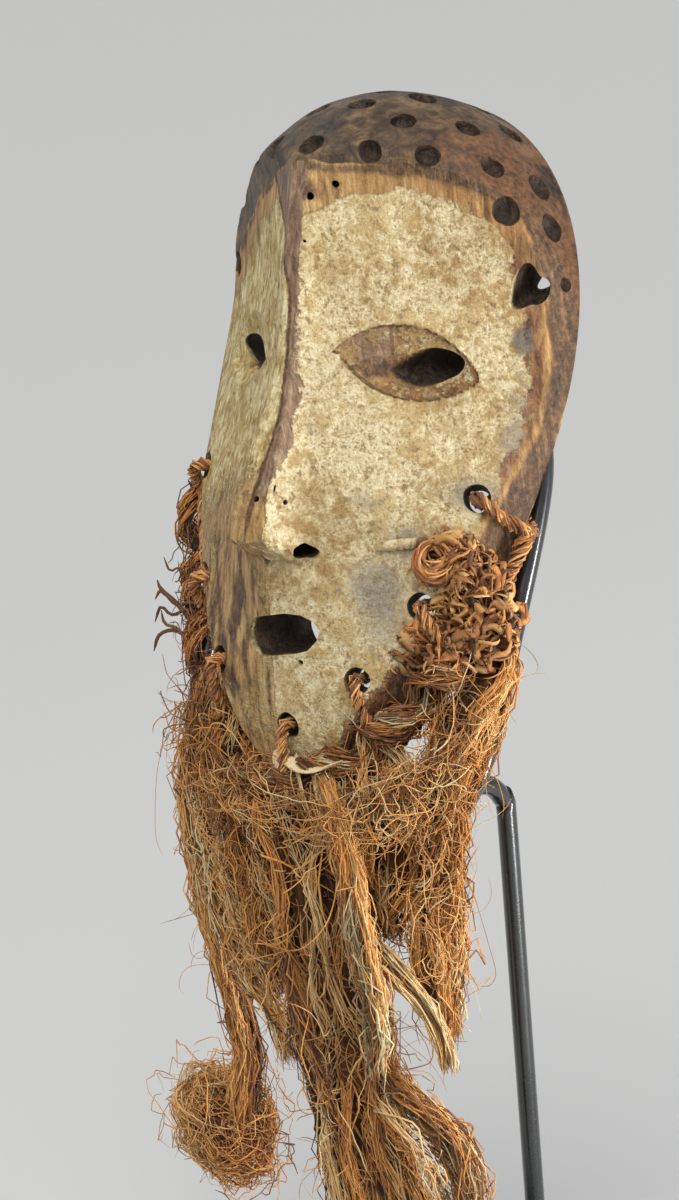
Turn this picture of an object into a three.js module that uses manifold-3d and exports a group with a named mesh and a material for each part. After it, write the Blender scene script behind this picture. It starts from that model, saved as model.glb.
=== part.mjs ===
// A carved wooden face mask with a plant-fibre beard, on its steel display stand.
// Millimetres, +Z up. The origin is the centre of the foot's underside, and the face looks along -Y.
// The mask has an upright frame of its own: x right, y back, z up from the chin, the back rim in the plane
// y = 0. That frame is leaned back and lifted onto the stand.
import * as THREE from "three";
import { mergeVertices } from "three/addons/utils/BufferGeometryUtils.js";
import Module from "manifold-3d";

// Mask
const MASK_HEIGHT = 199;
const MASK_WIDTH = 129;
const MASK_DEPTH = 65;
const WALL = 8;
const FACE_WALL = 19;
const LEAN = THREE.MathUtils.degToRad(25.5);
const PIT_RADIUS = 3.2;
const LACE_HOLE_RADIUS = 3.9;
const KNOT_RADIUS = 10;
const EYE_LENGTH = 27;
const EYE_SLANT = 0.35;
const MOUTH_LENGTH = 29;
const MOUTH_SLANT = 0.48;

// Stand: a flat steel foot, a bent post and a cradle with two prongs
const ROD_RADIUS = 3;
const FOOT_SIZE = 122;
const FOOT_THICKNESS = 8;
const FOOT_CORNER = 5;
const SOCKET_DEPTH = 5;
const POST_BACK = 41;
const POST_TOP = 180;
const BEND_RADIUS = 14;
const CHIN_HEIGHT = 200.4;
const CHIN_FORWARD = 48.7;
const CRADLE_BEHIND = 5.5;

// Fibre
const LACE_RADIUS = 1.8;
const BEARD_LENGTH = 172;

// What lies beside another piece stays this far from it.
const GAP = 0.4;

// Places on the carving are shares of the mask's height, half width and depth.
const high = (share) => share * MASK_HEIGHT;
const wide = (share) => (share * MASK_WIDTH) / 2;
const deep = (share) => share * MASK_DEPTH;
const { clamp, degToRad, smoothstep } = THREE.MathUtils;

// The widest place of the rim, and the pole that the carved surface is worked out around
const WIDEST = high(0.603);
const POLE = high(0.568);

// Middle line of the face, the nose ridge and the fall of the cheeks, as [height share, depth share or slope]
const FACE_DEPTH = [[0, 0.02], [0.085, 0.215], [0.2, 0.377], [0.33, 0.538], [0.42, 0.6], [0.61, 0.67],
  [0.78, 0.792], [0.844, 0.846], [0.93, 1.077], [1.03, 1.385]];
const RIDGE_DEPTH = [[0.25, 0.46], [0.312, 0.669], [0.42, 0.686], [0.55, 0.674], [0.673, 0.743], [0.78, 0.815],
  [0.844, 0.869], [0.93, 1.108], [1.03, 1.415]];
const CHEEK_SLOPE = [[0, 0.12], [0.166, 0.33], [0.276, 0.48], [0.42, 0.57], [0.71, 0.67], [0.844, 0.62],
  [1.03, 0.58]];
const MIDDLE_ROUND = [[0, 0.248], [0.2, 0.2], [0.276, 0.14], [0.42, 0.078], [0.61, 0.062], [1.03, 0.062]];
const NOSE_TIP = high(0.312);
const NOSE_TOP = high(0.578);
const NOSE_HALF_TIP = wide(0.093);
const NOSE_HALF_TOP = wide(0.039);
const NOSE_FLANK = 2.05;
const BROW_FLANK = 1.2;
const NOSE_UNDERCUT = 6;

// The cap of the head is a dome, rounder over the top than at the sides.
const DOME_DEPTH = 1.03;
const DOME_TOP = 2.35;
const DOME_SIDE = 1.9;

// Lacing holes near the rim, as [half width share, height share]; the first and last stay open.
const HOLES = [[0.853, 0.729], [0.791, 0.435], [0.643, 0.276], [0.403, 0.161], [0.047, 0.085], [-0.403, 0.161],
  [-0.62, 0.276], [-0.776, 0.435], [-0.8, 0.729]];

// Rings and meridians of the carved surface's facets
const OUTER_RINGS = [0, 0.07, 0.14, 0.22, 0.3, 0.37, 0.43, 0.48, 0.53, 0.58, 0.65, 0.72, 0.79, 0.85, 0.9, 0.95,
  0.98, 1];
const MERIDIANS = 52;

const wasm = await Module();
wasm.setup();

// A smooth curve through [position, value] stations.
function along(stations, at) {
  const last = stations.length - 1;
  const t = clamp(at, stations[0][0], stations[last][0]);
  let i = 0;
  while (i < last - 1 && t > stations[i + 1][0]) i += 1;
  const slope = (k) => {
    const a = stations[Math.max(k - 1, 0)];
    const b = stations[Math.min(k + 1, last)];
    return (b[1] - a[1]) / (b[0] - a[0]);
  };
  const width = stations[i + 1][0] - stations[i][0];
  const s = (t - stations[i][0]) / width;
  const ease = s * s * (3 - 2 * s);
  const bend = width * s * (1 - s) * (slope(i) * (1 - s) - slope(i + 1) * s);
  return stations[i][1] + (stations[i + 1][1] - stations[i][1]) * ease + bend;
}

// The smaller or the larger of two depths, with the crease between them rounded.
function softMin(a, b, round) {
  const h = clamp(0.5 + (0.5 * (b - a)) / round, 0, 1);
  return b + (a - b) * h - round * h * (1 - h);
}

const softMax = (a, b, round) => -softMin(-a, -b, round);
const softAbs = (x, round) => Math.hypot(x, round) - round;

// The carver's left side is a little narrower, most at the jaw.
const LEFT_SHARE = 0.93;
const sideShare = (x, z) => (x < 0 ? LEFT_SHARE - 0.1 * clamp((high(0.377) - z) / high(0.352), 0, 1) : 1);

// Half the width of the back rim: a round head above the widest place, a long chin below it.
function rimHalfWidth(z) {
  const above = clamp((z - WIDEST) / (MASK_HEIGHT - WIDEST), 0, 1);
  const below = clamp((WIDEST - z) / WIDEST, 0, 1);
  return wide(z > WIDEST ? (1 - above ** 2.12) ** (1 / 2.12) : (1 - below ** 1.72) ** (1 / 1.72));
}

// Distance from the pole to the rim in direction phi, measured from straight up.
function rimRadius(phi) {
  let inside = 0;
  let outside = MASK_HEIGHT;
  for (let i = 0; i < 40; i += 1) {
    const r = (inside + outside) / 2;
    const z = POLE + r * Math.cos(phi);
    if (z > 0 && z < MASK_HEIGHT && Math.abs(r * Math.sin(phi)) < rimHalfWidth(z)) inside = r;
    else outside = r;
  }
  return inside;
}

// How far the plain face stands in front of the rim plane: two cheek planes that meet at the middle.
function cheekDepth(x, z) {
  const share = z / MASK_HEIGHT;
  return deep(along(FACE_DEPTH, share)) - along(CHEEK_SLOPE, share) * softAbs(x, wide(along(MIDDLE_ROUND, share)));
}

// The nose: a narrow flat ridge from the hairline down, wider at the tip and cut off under it.
function noseDepth(x, z) {
  const flare = clamp((NOSE_TOP - z) / (NOSE_TOP - NOSE_TIP), 0, 1);
  const half = NOSE_HALF_TOP + (NOSE_HALF_TIP - NOSE_HALF_TOP) * flare;
  const flank = z > NOSE_TOP ? BROW_FLANK : NOSE_FLANK;
  const fall = flank * softAbs(Math.max(0, Math.abs(x) - half), 0.8);
  return deep(along(RIDGE_DEPTH, z / MASK_HEIGHT)) - fall - Math.max(0, NOSE_TIP - z) * NOSE_UNDERCUT;
}

function domeDepth(rho, phi) {
  const n = DOME_SIDE + (DOME_TOP - DOME_SIDE) * clamp(Math.cos(phi), 0, 1) ** 2;
  const flatter = 1 - 0.12 * clamp(-rho * Math.sin(phi) * 2, 0, 1);
  return deep(DOME_DEPTH * flatter * Math.max(0, 1 - rho ** n) ** (1 / n));
}

function shellPoint(rho, phi, radius, depthAt) {
  const x = rho * radius * Math.sin(phi);
  const z = POLE + rho * radius * Math.cos(phi);
  return new THREE.Vector3(x * sideShare(x, z), -Math.max(depthAt(x, z), 0), z);
}

// The carved outside at a share rho of the way from the pole to the rim: the face cut into the dome of the
// head, with a steep bevel down to the back rim.
function outerPoint(rho, phi) {
  const radius = rimRadius(phi);
  return shellPoint(rho, phi, radius, (x, z) => {
    const bevel = (2.3 + 12 * smoothstep(Math.cos(phi), 0.35, 0.85)) * (1 - rho) * radius;
    const face = softMax(cheekDepth(x, z), noseDepth(x, z), 1.5);
    return softMin(softMin(face, domeDepth(rho, phi), 2), bevel, 2);
  });
}

// The outside with a gap all round it, for what lies against it.
function clearPoint(rho, phi) {
  const aside = new THREE.Vector3(Math.sin(phi), -1, Math.cos(phi));
  return outerPoint(rho, phi).addScaledVector(aside, GAP * 1.5);
}

// The hollow, a wall's thickness inside the plain face and the dome, and more of it behind the face.
function hollowPoint(rho, phi) {
  const radius = rimRadius(phi) - WALL;
  return shellPoint(rho, phi, radius, (x, z) => {
    const thicker = (FACE_WALL - WALL) * smoothstep(1 - rho, 0.12, 0.38);
    const inside = softMin(cheekDepth(x, z), domeDepth(rho, phi), 8) - WALL * 1.12 - thicker;
    return softMin(inside, 2.6 * (1 - rho) * radius, 5);
  });
}

// Turns a closed three.js geometry into a solid, without the slivers at poles and seams.
function solid(geometry) {
  const g = geometry.clone();
  g.deleteAttribute("normal");
  g.deleteAttribute("uv");
  const merged = mergeVertices(g, 1e-3);
  const index = merged.index.array;
  const triVerts = [];
  for (let i = 0; i < index.length; i += 3) {
    const [a, b, c] = [index[i], index[i + 1], index[i + 2]];
    if (a !== b && b !== c && c !== a) triVerts.push(a, b, c);
  }
  const vertProperties = new Float32Array(merged.attributes.position.array);
  return new wasm.Manifold(new wasm.Mesh({ numProp: 3, vertProperties, triVerts: new Uint32Array(triVerts) }));
}

const joined = (bodies) => bodies.reduce((all, body) => all.add(body));
const cutBy = (body, cutters) => cutters.reduce((rest, cutter) => rest.subtract(cutter), body);

// The biggest body of what a cut leaves.
function biggest(body) {
  return body.decompose().reduce((best, one) => (one.volume() > best.volume() ? one : best));
}

function meshOf(name, body, material) {
  const { numProp, numVert, vertProperties, triVerts } = body.getMesh();
  const position = new Float32Array(numVert * 3);
  for (let i = 0; i < numVert; i += 1) {
    for (let k = 0; k < 3; k += 1) position[3 * i + k] = vertProperties[i * numProp + k];
  }
  const geometry = new THREE.BufferGeometry();
  geometry.setAttribute("position", new THREE.BufferAttribute(position, 3));
  geometry.setIndex(new THREE.BufferAttribute(triVerts, 1));
  geometry.computeVertexNormals();
  const mesh = new THREE.Mesh(geometry, material);
  mesh.name = name;
  return mesh;
}

// A closed body spun round the y axis whose points are moved onto a carved surface. Its meridians crowd
// towards the middle line, where the nose is, and its back is flat in the plane y = back.
function carved(surface, rings, meridians, back) {
  const profile = rings.map((rho) => new THREE.Vector2(rho, -1));
  if (back > 0) profile.push(new THREE.Vector2(1, back));
  profile.push(new THREE.Vector2(0, back));
  const geometry = new THREE.LatheGeometry(profile, meridians);
  const position = geometry.attributes.position;
  for (let i = 0; i < position.count; i += 1) {
    const even = Math.atan2(position.getX(i), position.getZ(i));
    const rho = Math.min(Math.hypot(position.getX(i), position.getZ(i)), 1);
    const p = surface(rho, even - 0.36 * Math.sin(2 * even));
    position.setXYZ(i, p.x, position.getY(i) < -0.5 ? p.y : back, p.z);
  }
  return solid(geometry);
}

// Where the carved outside is over (x, z), and the way out of it.
function surfaceFrame(x, z) {
  const at = (px, pz) => {
    const plainX = px / sideShare(px, pz);
    const phi = Math.atan2(plainX, pz - POLE);
    return outerPoint(Math.min(Math.hypot(plainX, pz - POLE) / rimRadius(phi), 1), phi);
  };
  const step = 2;
  const across = at(x + step, z).sub(at(x - step, z));
  const upward = at(x, z + step).sub(at(x, z - step));
  return { point: at(x, z), normal: across.cross(upward).normalize() };
}

// Stands a cutter that was built along its own z axis on the surface, with its x axis level.
function standOn(geometry, { point, normal }) {
  const level = new THREE.Vector3(0, 0, 1).cross(normal).normalize();
  const matrix = new THREE.Matrix4().makeBasis(level, normal.clone().cross(level), normal);
  return solid(geometry.clone().applyMatrix4(matrix.setPosition(point)));
}

// A straight drill of an outline, from well outside the wall to well inside it.
function drill(outline, inward = WALL * 2.4) {
  const options = { depth: inward + WALL * 1.1, steps: 1, bevelEnabled: false, curveSegments: 5 };
  return new THREE.ExtrudeGeometry(outline, options).translate(0, 0, -inward);
}

// The way of a hole that is cut level through the leaned face, from the front of the stand to its back, or
// also aside.
function levelWay({ point }, aside = 0) {
  return { point, normal: new THREE.Vector3(aside, -Math.cos(LEAN), -Math.sin(LEAN)).normalize() };
}

const roundOutline = (radius) => new THREE.Shape().absarc(0, 0, radius, 0, 2 * Math.PI);

// The pierced eye, with its sloping almond border.
function eyeCutters(side) {
  const frame = surfaceFrame(side * wide(0.47), high(0.593));
  const opening = new THREE.Shape();
  opening.absellipse(-side, -0.5, EYE_LENGTH * 0.3, EYE_LENGTH * 0.21, 0, 2 * Math.PI);
  const border = new THREE.CylinderGeometry(1, 0.62, 3, 16).rotateX(Math.PI / 2);
  border.scale(EYE_LENGTH * 0.72, EYE_LENGTH * 0.38, 1).translate(side * -2.5, 1, -0.9);
  const tunnel = standOn(drill(opening, FACE_WALL * 1.5), levelWay(frame, side * -EYE_SLANT));
  return [tunnel, standOn(border, frame)];
}

// The pierced mouth: a rounded bar, pointed at one end.
function mouthCutters() {
  const half = MOUTH_LENGTH * 0.39;
  const rise = MOUTH_LENGTH * 0.2;
  const lips = new THREE.Shape();
  lips.moveTo(-half + rise, -rise);
  lips.lineTo(half * 0.45, -rise * 1.05);
  lips.quadraticCurveTo(half * 0.9, -rise * 0.6, half, -rise * 0.05);
  lips.quadraticCurveTo(half * 0.8, rise * 0.9, half * 0.35, rise);
  lips.lineTo(-half + rise, rise);
  lips.absarc(-half + rise, 0, rise, Math.PI / 2, Math.PI * 1.5);
  const frame = surfaceFrame(wide(0.03), high(0.203));
  return [standOn(drill(lips, FACE_WALL * 1.5), levelWay(frame, -MOUTH_SLANT))];
}

// Rows of round pits over the cap of the head, as [dome depth share, first angle, last angle, number].
function pitCutters() {
  const rows = [[0.77, -17, 18, 3], [0.59, -32, 27, 6], [0.38, -45, 46, 9], [0.17, -60, 61, 11]];
  const pits = [];
  for (const [depth, first, last, count] of rows) {
    for (let i = 0; i < count; i += 1) {
      const phi = degToRad(first + ((last - first) * i) / (count - 1));
      const n = DOME_SIDE + (DOME_TOP - DOME_SIDE) * Math.cos(phi) ** 2;
      const point = outerPoint((1 - depth ** n) ** (1 / n), phi);
      pits.push(solid(new THREE.SphereGeometry(PIT_RADIUS, 6, 4).translate(point.x, point.y, point.z)));
    }
  }
  return pits;
}

function maskBody() {
  const hollowRings = [0, 0.2, 0.4, 0.6, 0.75, 0.86, 0.94, 0.98, 1];
  const hollow = carved(hollowPoint, hollowRings, 26, WALL);
  const shell = carved(outerPoint, OUTER_RINGS, MERIDIANS, 0).subtract(hollow);
  const laceHoles = HOLES.map(([x, z], i) => {
    const frame = surfaceFrame(wide(x), high(z));
    if (i === 0) return standOn(drill(roundOutline(LACE_HOLE_RADIUS * 1.35)), levelWay(frame, 0.22));
    return standOn(drill(roundOutline(LACE_HOLE_RADIUS)), frame);
  });
  const chip = new THREE.Shape().absellipse(0, 0, 3.2, 2.1, 0, 2 * Math.PI);
  const chipHole = standOn(drill(chip), surfaceFrame(wide(0.19), high(0.318)));
  const features = [...eyeCutters(1), ...eyeCutters(-1), ...mouthCutters()];
  const cutters = [...laceHoles, ...features, ...pitCutters(), chipHole];
  const splinter = new THREE.CapsuleGeometry(1.1, 12, 3, 6).rotateZ(Math.PI / 2 + 0.3);
  return biggest(cutBy(shell, cutters)).add(standOn(splinter, surfaceFrame(wide(0.547), high(0.354))));
}

// A closed tube along a curve. Its radius may change on the way and its section may be fluted like a bundle
// of strands, turning as it goes.
function bundle(points, radii, { sides = 8, steps = 12, flutes = 0, flat = 1, turn = 0, extra = 0 } = {}) {
  const curve = new THREE.CatmullRomCurve3(points.map((p) => new THREE.Vector3(...p)), false, "centripetal");
  const frames = curve.computeFrenetFrames(steps, false);
  const stations = radii.map((radius, i) => [i / (radii.length - 1), radius]);
  const geometry = new THREE.CylinderGeometry(1, 1, 1, sides, steps);
  const position = geometry.attributes.position;
  for (let i = 0; i < position.count; i += 1) {
    const share = position.getY(i) + 0.5;
    const k = Math.round(share * steps);
    const angle = Math.atan2(position.getX(i), position.getZ(i));
    const flute = 1 + 0.1 * (flutes > 0 ? Math.cos(flutes * angle + turn * share) : 0);
    const out = Math.min(Math.hypot(position.getX(i), position.getZ(i)), 1);
    const reach = out * (along(stations, share) * flute + extra);
    const p = curve.getPointAt(share);
    p.addScaledVector(frames.binormals[k], reach * Math.sin(angle));
    p.addScaledVector(frames.normals[k], reach * flat * Math.cos(angle));
    position.setXYZ(i, p.x, p.y, p.z);
  }
  return solid(geometry);
}

// A closed ring of cord through the given points, which lie near one plane with the given normal.
function cordRing(points, planeNormal, radius) {
  const curve = new THREE.CatmullRomCurve3(points, true, "centripetal");
  const steps = 10;
  const sides = 5;
  const geometry = new THREE.TorusGeometry(3, 1, sides, steps);
  const position = geometry.attributes.position;
  for (let i = 0; i < position.count; i += 1) {
    const share = (i % (steps + 1)) / steps;
    const angle = (Math.floor(i / (steps + 1)) / sides) * 2 * Math.PI;
    const side = curve.getTangentAt(share % 1).cross(planeNormal).normalize();
    const p = curve.getPointAt(share % 1).addScaledVector(side, radius * Math.cos(angle));
    p.addScaledVector(planeNormal, radius * Math.sin(angle));
    position.setXYZ(i, p.x, p.y, p.z);
  }
  return solid(geometry);
}

// Point outside the rim at direction phi: this far out from it and this far behind the rim plane.
function besideRim(phi, out, behind) {
  const radius = rimRadius(phi);
  const rim = shellPoint(1, phi, radius, () => 0);
  return rim.add(new THREE.Vector3(Math.sin(phi) * out, behind, Math.cos(phi) * out));
}

const holeAngle = ([x, z]) => Math.atan2(wide(x) / sideShare(x, high(z)), high(z) - POLE);

// Lacing: a cord round the outside of the jaw, tied through each of the seven lower holes.
function lacing(extra) {
  const radius = LACE_RADIUS + extra;
  const clear = LACE_RADIUS + GAP;
  const laced = HOLES.slice(1, -1);
  const loops = laced.map((hole) => {
    const { point, normal } = surfaceFrame(wide(hole[0]), high(hole[1]));
    const phi = holeAngle(hole);
    const outward = new THREE.Vector3(Math.sin(phi), 0, Math.cos(phi));
    const points = [
      point.clone().addScaledVector(normal, -WALL / 2),
      point.clone().addScaledVector(normal, clear).addScaledVector(outward, 1),
      besideRim(phi, clear, point.y * 0.55),
      besideRim(phi, clear + 0.6, 1),
      besideRim(phi, -WALL / 2, clear + 1),
      besideRim(phi, -WALL - clear - 2.8, 1.4),
      point.clone().addScaledVector(normal, -WALL - 3),
    ];
    const across = outward.clone().cross(new THREE.Vector3(0, 1, 0)).normalize();
    return cordRing(points, across, radius);
  });
  const start = holeAngle(laced[0]);
  const end = holeAngle(laced[laced.length - 1]) + 2 * Math.PI;
  const route = [];
  for (let i = 0; i <= 16; i += 1) {
    const p = besideRim(start + ((end - start) * i) / 16, clear + 0.7, -1);
    route.push([p.x, p.y, p.z]);
  }
  const run = bundle(route, [1.15, 1.15].map((share) => share * LACE_RADIUS), { sides: 6, steps: 26, extra });
  return joined([run, ...loops]);
}

// The leaned frame of the mask on its stand.
const leaned = new THREE.Matrix4().makeRotationX(-LEAN);
leaned.setPosition(0, -CHIN_FORWARD, CHIN_HEIGHT);

// Stand rod: a cradle that runs under the chin, up behind both edges and into the hollow, and a post that bends
// forward to meet it.
function standRod(extra) {
  const behind = CRADLE_BEHIND + ROD_RADIUS;
  const seat = ROD_RADIUS + GAP;
  const half = [[0, 4, -seat - 2.6], [0.62, behind, -0.5], [0.84, behind, high(0.06)], [0.87, behind, high(0.276)],
    [0.87, behind - 1, high(0.48)], [0.79, seat + 0.6, high(0.59)], [0.72, 1, high(0.7)],
    [0.58, -deep(0.125), high(0.78)]];
  const left = half.slice(1).reverse().map(([x, y, z]) => [-wide(x) * LEFT_SHARE, y, z]);
  const sides = [...left, ...half.map(([x, y, z]) => [wide(x), y, z])];
  const inWorld = (p) => new THREE.Vector3(...p).applyMatrix4(leaned).toArray();
  const radii = [ROD_RADIUS, ROD_RADIUS];
  const cradle = bundle(sides.map(inWorld), radii, { sides: 7, steps: 30, extra });
  const chin = inWorld(half[0]);
  const bend = POST_BACK - chin[1];
  const stub = [chin, [0, chin[1] + bend * 0.4, POST_TOP + 7], [0, POST_BACK - BEND_RADIUS, POST_TOP]];
  for (const turn of [30, 60, 90].map(degToRad)) {
    const forward = BEND_RADIUS * (1 - Math.sin(turn));
    stub.push([0, POST_BACK - forward, POST_TOP - BEND_RADIUS * (1 - Math.cos(turn))]);
  }
  stub.push([0, POST_BACK, POST_TOP / 2], [0, POST_BACK, FOOT_THICKNESS - SOCKET_DEPTH]);
  return cradle.add(bundle(stub, radii, { sides: 8, steps: 16, extra }));
}

function footBody() {
  const half = FOOT_SIZE / 2;
  const outline = new THREE.Shape();
  outline.absarc(half - FOOT_CORNER, half - FOOT_CORNER, FOOT_CORNER, 0, Math.PI / 2);
  outline.absarc(FOOT_CORNER - half, half - FOOT_CORNER, FOOT_CORNER, Math.PI / 2, Math.PI);
  outline.absarc(FOOT_CORNER - half, FOOT_CORNER - half, FOOT_CORNER, Math.PI, Math.PI * 1.5);
  outline.absarc(half - FOOT_CORNER, FOOT_CORNER - half, FOOT_CORNER, Math.PI * 1.5, Math.PI * 2);
  const options = { depth: FOOT_THICKNESS, steps: 1, bevelEnabled: false, curveSegments: 5 };
  const socket = new THREE.CylinderGeometry(ROD_RADIUS + GAP, ROD_RADIUS + GAP, SOCKET_DEPTH + GAP + 1, 16);
  socket.rotateX(Math.PI / 2).translate(0, POST_BACK, FOOT_THICKNESS + 1 - (SOCKET_DEPTH + GAP + 1) / 2);
  return solid(new THREE.ExtrudeGeometry(outline, options)).subtract(solid(socket));
}

// Hanks of the beard, each with its route in the stand's frame as [x, y, depth below the chin as a share of the
// beard's length], its radii and its section.
const below = (share) => CHIN_HEIGHT - share * BEARD_LENGTH;
const HANKS = {
  beard_left_hank: {
    route: [[-40, -38, -0.1], [-46, -36, 0.02], [-49, -34, 0.13], [-50, -33, 0.27], [-47, -33, 0.4], [-43, -33, 0.53],
      [-47, -33, 0.62], [-53, -33, 0.72], [-55, -33, 0.82]],
    radii: [5, 8.5, 8, 6.5, 5, 4, 12, 18, 9],
    section: { flutes: 4, turn: 3, flat: 0.9, steps: 14 },
  },
  beard_centre: {
    route: [[4, -52, 0.02], [6, -50, 0.17], [8, -48, 0.34], [8, -47, 0.52], [12, -47, 0.66], [18, -46, 0.83],
      [20, -45, 1]],
    radii: [12, 18, 17, 15, 15, 18, 11],
    section: { flutes: 5, turn: 1.5, flat: 0.85, sides: 12 },
  },
  beard_left_inner: {
    route: [[-24, -42, 0.02], [-27, -41, 0.12], [-25, -42, 0.25], [-19, -43, 0.36]],
    radii: [8, 11, 9, 4],
    section: { flutes: 4, turn: 1 },
  },
  beard_right: {
    route: [[52, -19, -0.27], [52, -25, -0.18], [47, -29, -0.06], [44, -33, 0.03], [39, -35, 0.15], [36, -37, 0.28],
      [37, -38, 0.36]],
    radii: [6, 10, 11, 11, 10, 10, 6],
    section: { flutes: 4, turn: 2 },
  },
  beard_right_inner: {
    route: [[27, -41, -0.14], [30, -40, -0.05], [32, -39, 0.02], [28, -40, 0.13], [23, -42, 0.22]],
    radii: [5, 8, 8, 8, 4],
    section: { flutes: 4, turn: 1 },
  },
  beard_right_curl: {
    route: [[27, -58, 0.2], [33, -56, 0.24], [39, -53, 0.29], [45, -49, 0.36], [46, -47, 0.43]],
    radii: [3, 4, 3.6, 3, 2.2],
    section: { sides: 6, steps: 7 },
  },
};

function hankBody({ route, radii, section }, extra) {
  const points = route.map(([x, y, share]) => [x, y, below(share)]);
  return bundle(points, radii, { sides: 8, steps: 9, ...section, extra });
}

// The braided knot of broad fibres on the right cheek, in the mask's frame.
function knotBody(extra) {
  const over = (x, z, lift) => {
    const { point, normal } = surfaceFrame(wide(x), high(z));
    return point.addScaledVector(normal, lift).toArray();
  };
  const cheek = [[0.74, 0.35, 1], [0.78, 0.31, 4], [0.77, 0.26, 6], [0.72, 0.22, 6], [0.66, 0.18, 4]];
  const braid = cheek.map((place) => over(...place));
  const ball = over(0.68, 0.335, 3);
  const top = new THREE.IcosahedronGeometry(KNOT_RADIUS * 0.65 + extra, 1).scale(1, 0.75, 1);
  const knot = solid(top.translate(...ball));
  const radii = [0.6, 0.8, 1, 0.9, 0.6].map((share) => share * KNOT_RADIUS);
  return bundle(braid, radii, { sides: 8, steps: 6, flutes: 4, turn: 4, extra }).add(knot);
}

const wood = new THREE.MeshStandardMaterial({ color: 0xcfc3a0, roughness: 0.85, metalness: 0 });
const cord = new THREE.MeshStandardMaterial({ color: 0xa4622f, roughness: 0.9, metalness: 0 });
const fibre = new THREE.MeshStandardMaterial({ color: 0xa9713a, roughness: 0.9, metalness: 0 });
const steel = new THREE.MeshStandardMaterial({ color: 0x1c1d1f, roughness: 0.35, metalness: 0.9 });

const inStand = (body) => body.transform(leaned.toArray());
const mask = inStand(maskBody());
const noFibre = [
  inStand(carved(clearPoint, OUTER_RINGS, MERIDIANS, GAP)),
  inStand(lacing(GAP)),
  standRod(GAP),
];

const part = new THREE.Group();
part.add(meshOf("mask", mask, wood));
part.add(meshOf("lacing_cord", inStand(lacing(0)), cord));
part.add(meshOf("knot_right", biggest(cutBy(inStand(knotBody(0)), noFibre)), cord));
noFibre.push(inStand(knotBody(GAP)));
for (const [name, hank] of Object.entries(HANKS)) {
  part.add(meshOf(name, biggest(cutBy(hankBody(hank, 0), noFibre)), fibre));
  noFibre.push(hankBody(hank, GAP));
}
part.add(meshOf("display_rod", standRod(0), steel));
part.add(meshOf("display_foot", footBody(), steel));

export default part;
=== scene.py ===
# A carved wooden face mask with a plant-fibre beard, on its steel display stand.
# Lengths in the functions are millimetres in the frames of the model; meshes are written in metres.
import math
import bmesh
import bpy
import numpy as np
from mathutils import Matrix, Vector


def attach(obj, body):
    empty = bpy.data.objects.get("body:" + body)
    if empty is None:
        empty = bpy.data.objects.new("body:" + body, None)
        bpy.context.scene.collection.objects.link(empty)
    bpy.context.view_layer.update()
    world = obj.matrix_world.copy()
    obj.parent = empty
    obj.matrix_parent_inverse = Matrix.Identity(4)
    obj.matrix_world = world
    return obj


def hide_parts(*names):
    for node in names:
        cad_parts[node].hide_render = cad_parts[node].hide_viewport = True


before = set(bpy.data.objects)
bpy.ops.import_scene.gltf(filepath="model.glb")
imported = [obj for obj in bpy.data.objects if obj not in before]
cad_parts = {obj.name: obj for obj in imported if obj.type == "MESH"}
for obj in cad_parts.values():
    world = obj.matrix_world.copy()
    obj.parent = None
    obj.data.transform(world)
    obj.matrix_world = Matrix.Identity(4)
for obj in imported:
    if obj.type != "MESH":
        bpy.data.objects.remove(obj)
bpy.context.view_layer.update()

MM = 0.001
BODY = "root"

# Sizes, as in the solid model
MASK_HEIGHT = 199.0
MASK_WIDTH = 129.0
MASK_DEPTH = 65.0
WALL = 8.0
FACE_WALL = 19.0
LEAN = math.radians(25.5)
PIT_RADIUS = 3.2
LACE_HOLE_RADIUS = 3.9
EYE_LENGTH = 27.0
EYE_SLANT = 0.35
MOUTH_LENGTH = 29.0
MOUTH_SLANT = 0.48
ROD_RADIUS = 3.0
FOOT_THICKNESS = 8.0
POST_BACK = 41.0
POST_TOP = 180.0
BEND_RADIUS = 14.0
CHIN_HEIGHT = 200.4
CHIN_FORWARD = 48.7
CRADLE_BEHIND = 5.5
LACE_RADIUS = 1.8
BEARD_LENGTH = 172.0
GAP = 0.4


def high(share):
    return share * MASK_HEIGHT


def wide(share):
    return share * MASK_WIDTH / 2


def deep(share):
    return share * MASK_DEPTH


WIDEST = high(0.603)
POLE = high(0.568)
FACE_DEPTH = [(0, 0.02), (0.085, 0.215), (0.2, 0.377), (0.33, 0.538), (0.42, 0.6), (0.61, 0.67),
              (0.78, 0.792), (0.844, 0.846), (0.93, 1.077), (1.03, 1.385)]
RIDGE_DEPTH = [(0.25, 0.46), (0.312, 0.669), (0.42, 0.686), (0.55, 0.674), (0.673, 0.743), (0.78, 0.815),
               (0.844, 0.869), (0.93, 1.108), (1.03, 1.415)]
CHEEK_SLOPE = [(0, 0.12), (0.166, 0.33), (0.276, 0.48), (0.42, 0.57), (0.71, 0.67), (0.844, 0.62),
               (1.03, 0.58)]
MIDDLE_ROUND = [(0, 0.248), (0.2, 0.2), (0.276, 0.14), (0.42, 0.078), (0.61, 0.062), (1.03, 0.062)]
NOSE_TIP = high(0.312)
NOSE_TOP = high(0.578)
NOSE_HALF_TIP = wide(0.093)
NOSE_HALF_TOP = wide(0.039)
NOSE_FLANK = 2.05
BROW_FLANK = 1.2
NOSE_UNDERCUT = 6.0
DOME_DEPTH = 1.03
DOME_TOP = 2.35
DOME_SIDE = 1.9
LEFT_SHARE = 0.93
HOLES = [(0.853, 0.729), (0.791, 0.435), (0.643, 0.276), (0.403, 0.161), (0.047, 0.085), (-0.403, 0.161),
         (-0.62, 0.276), (-0.776, 0.435), (-0.8, 0.729)]


# Small numeric helpers
def unit(vectors):
    return vectors / np.maximum(np.linalg.norm(vectors, axis=-1, keepdims=True), 1e-9)


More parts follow.
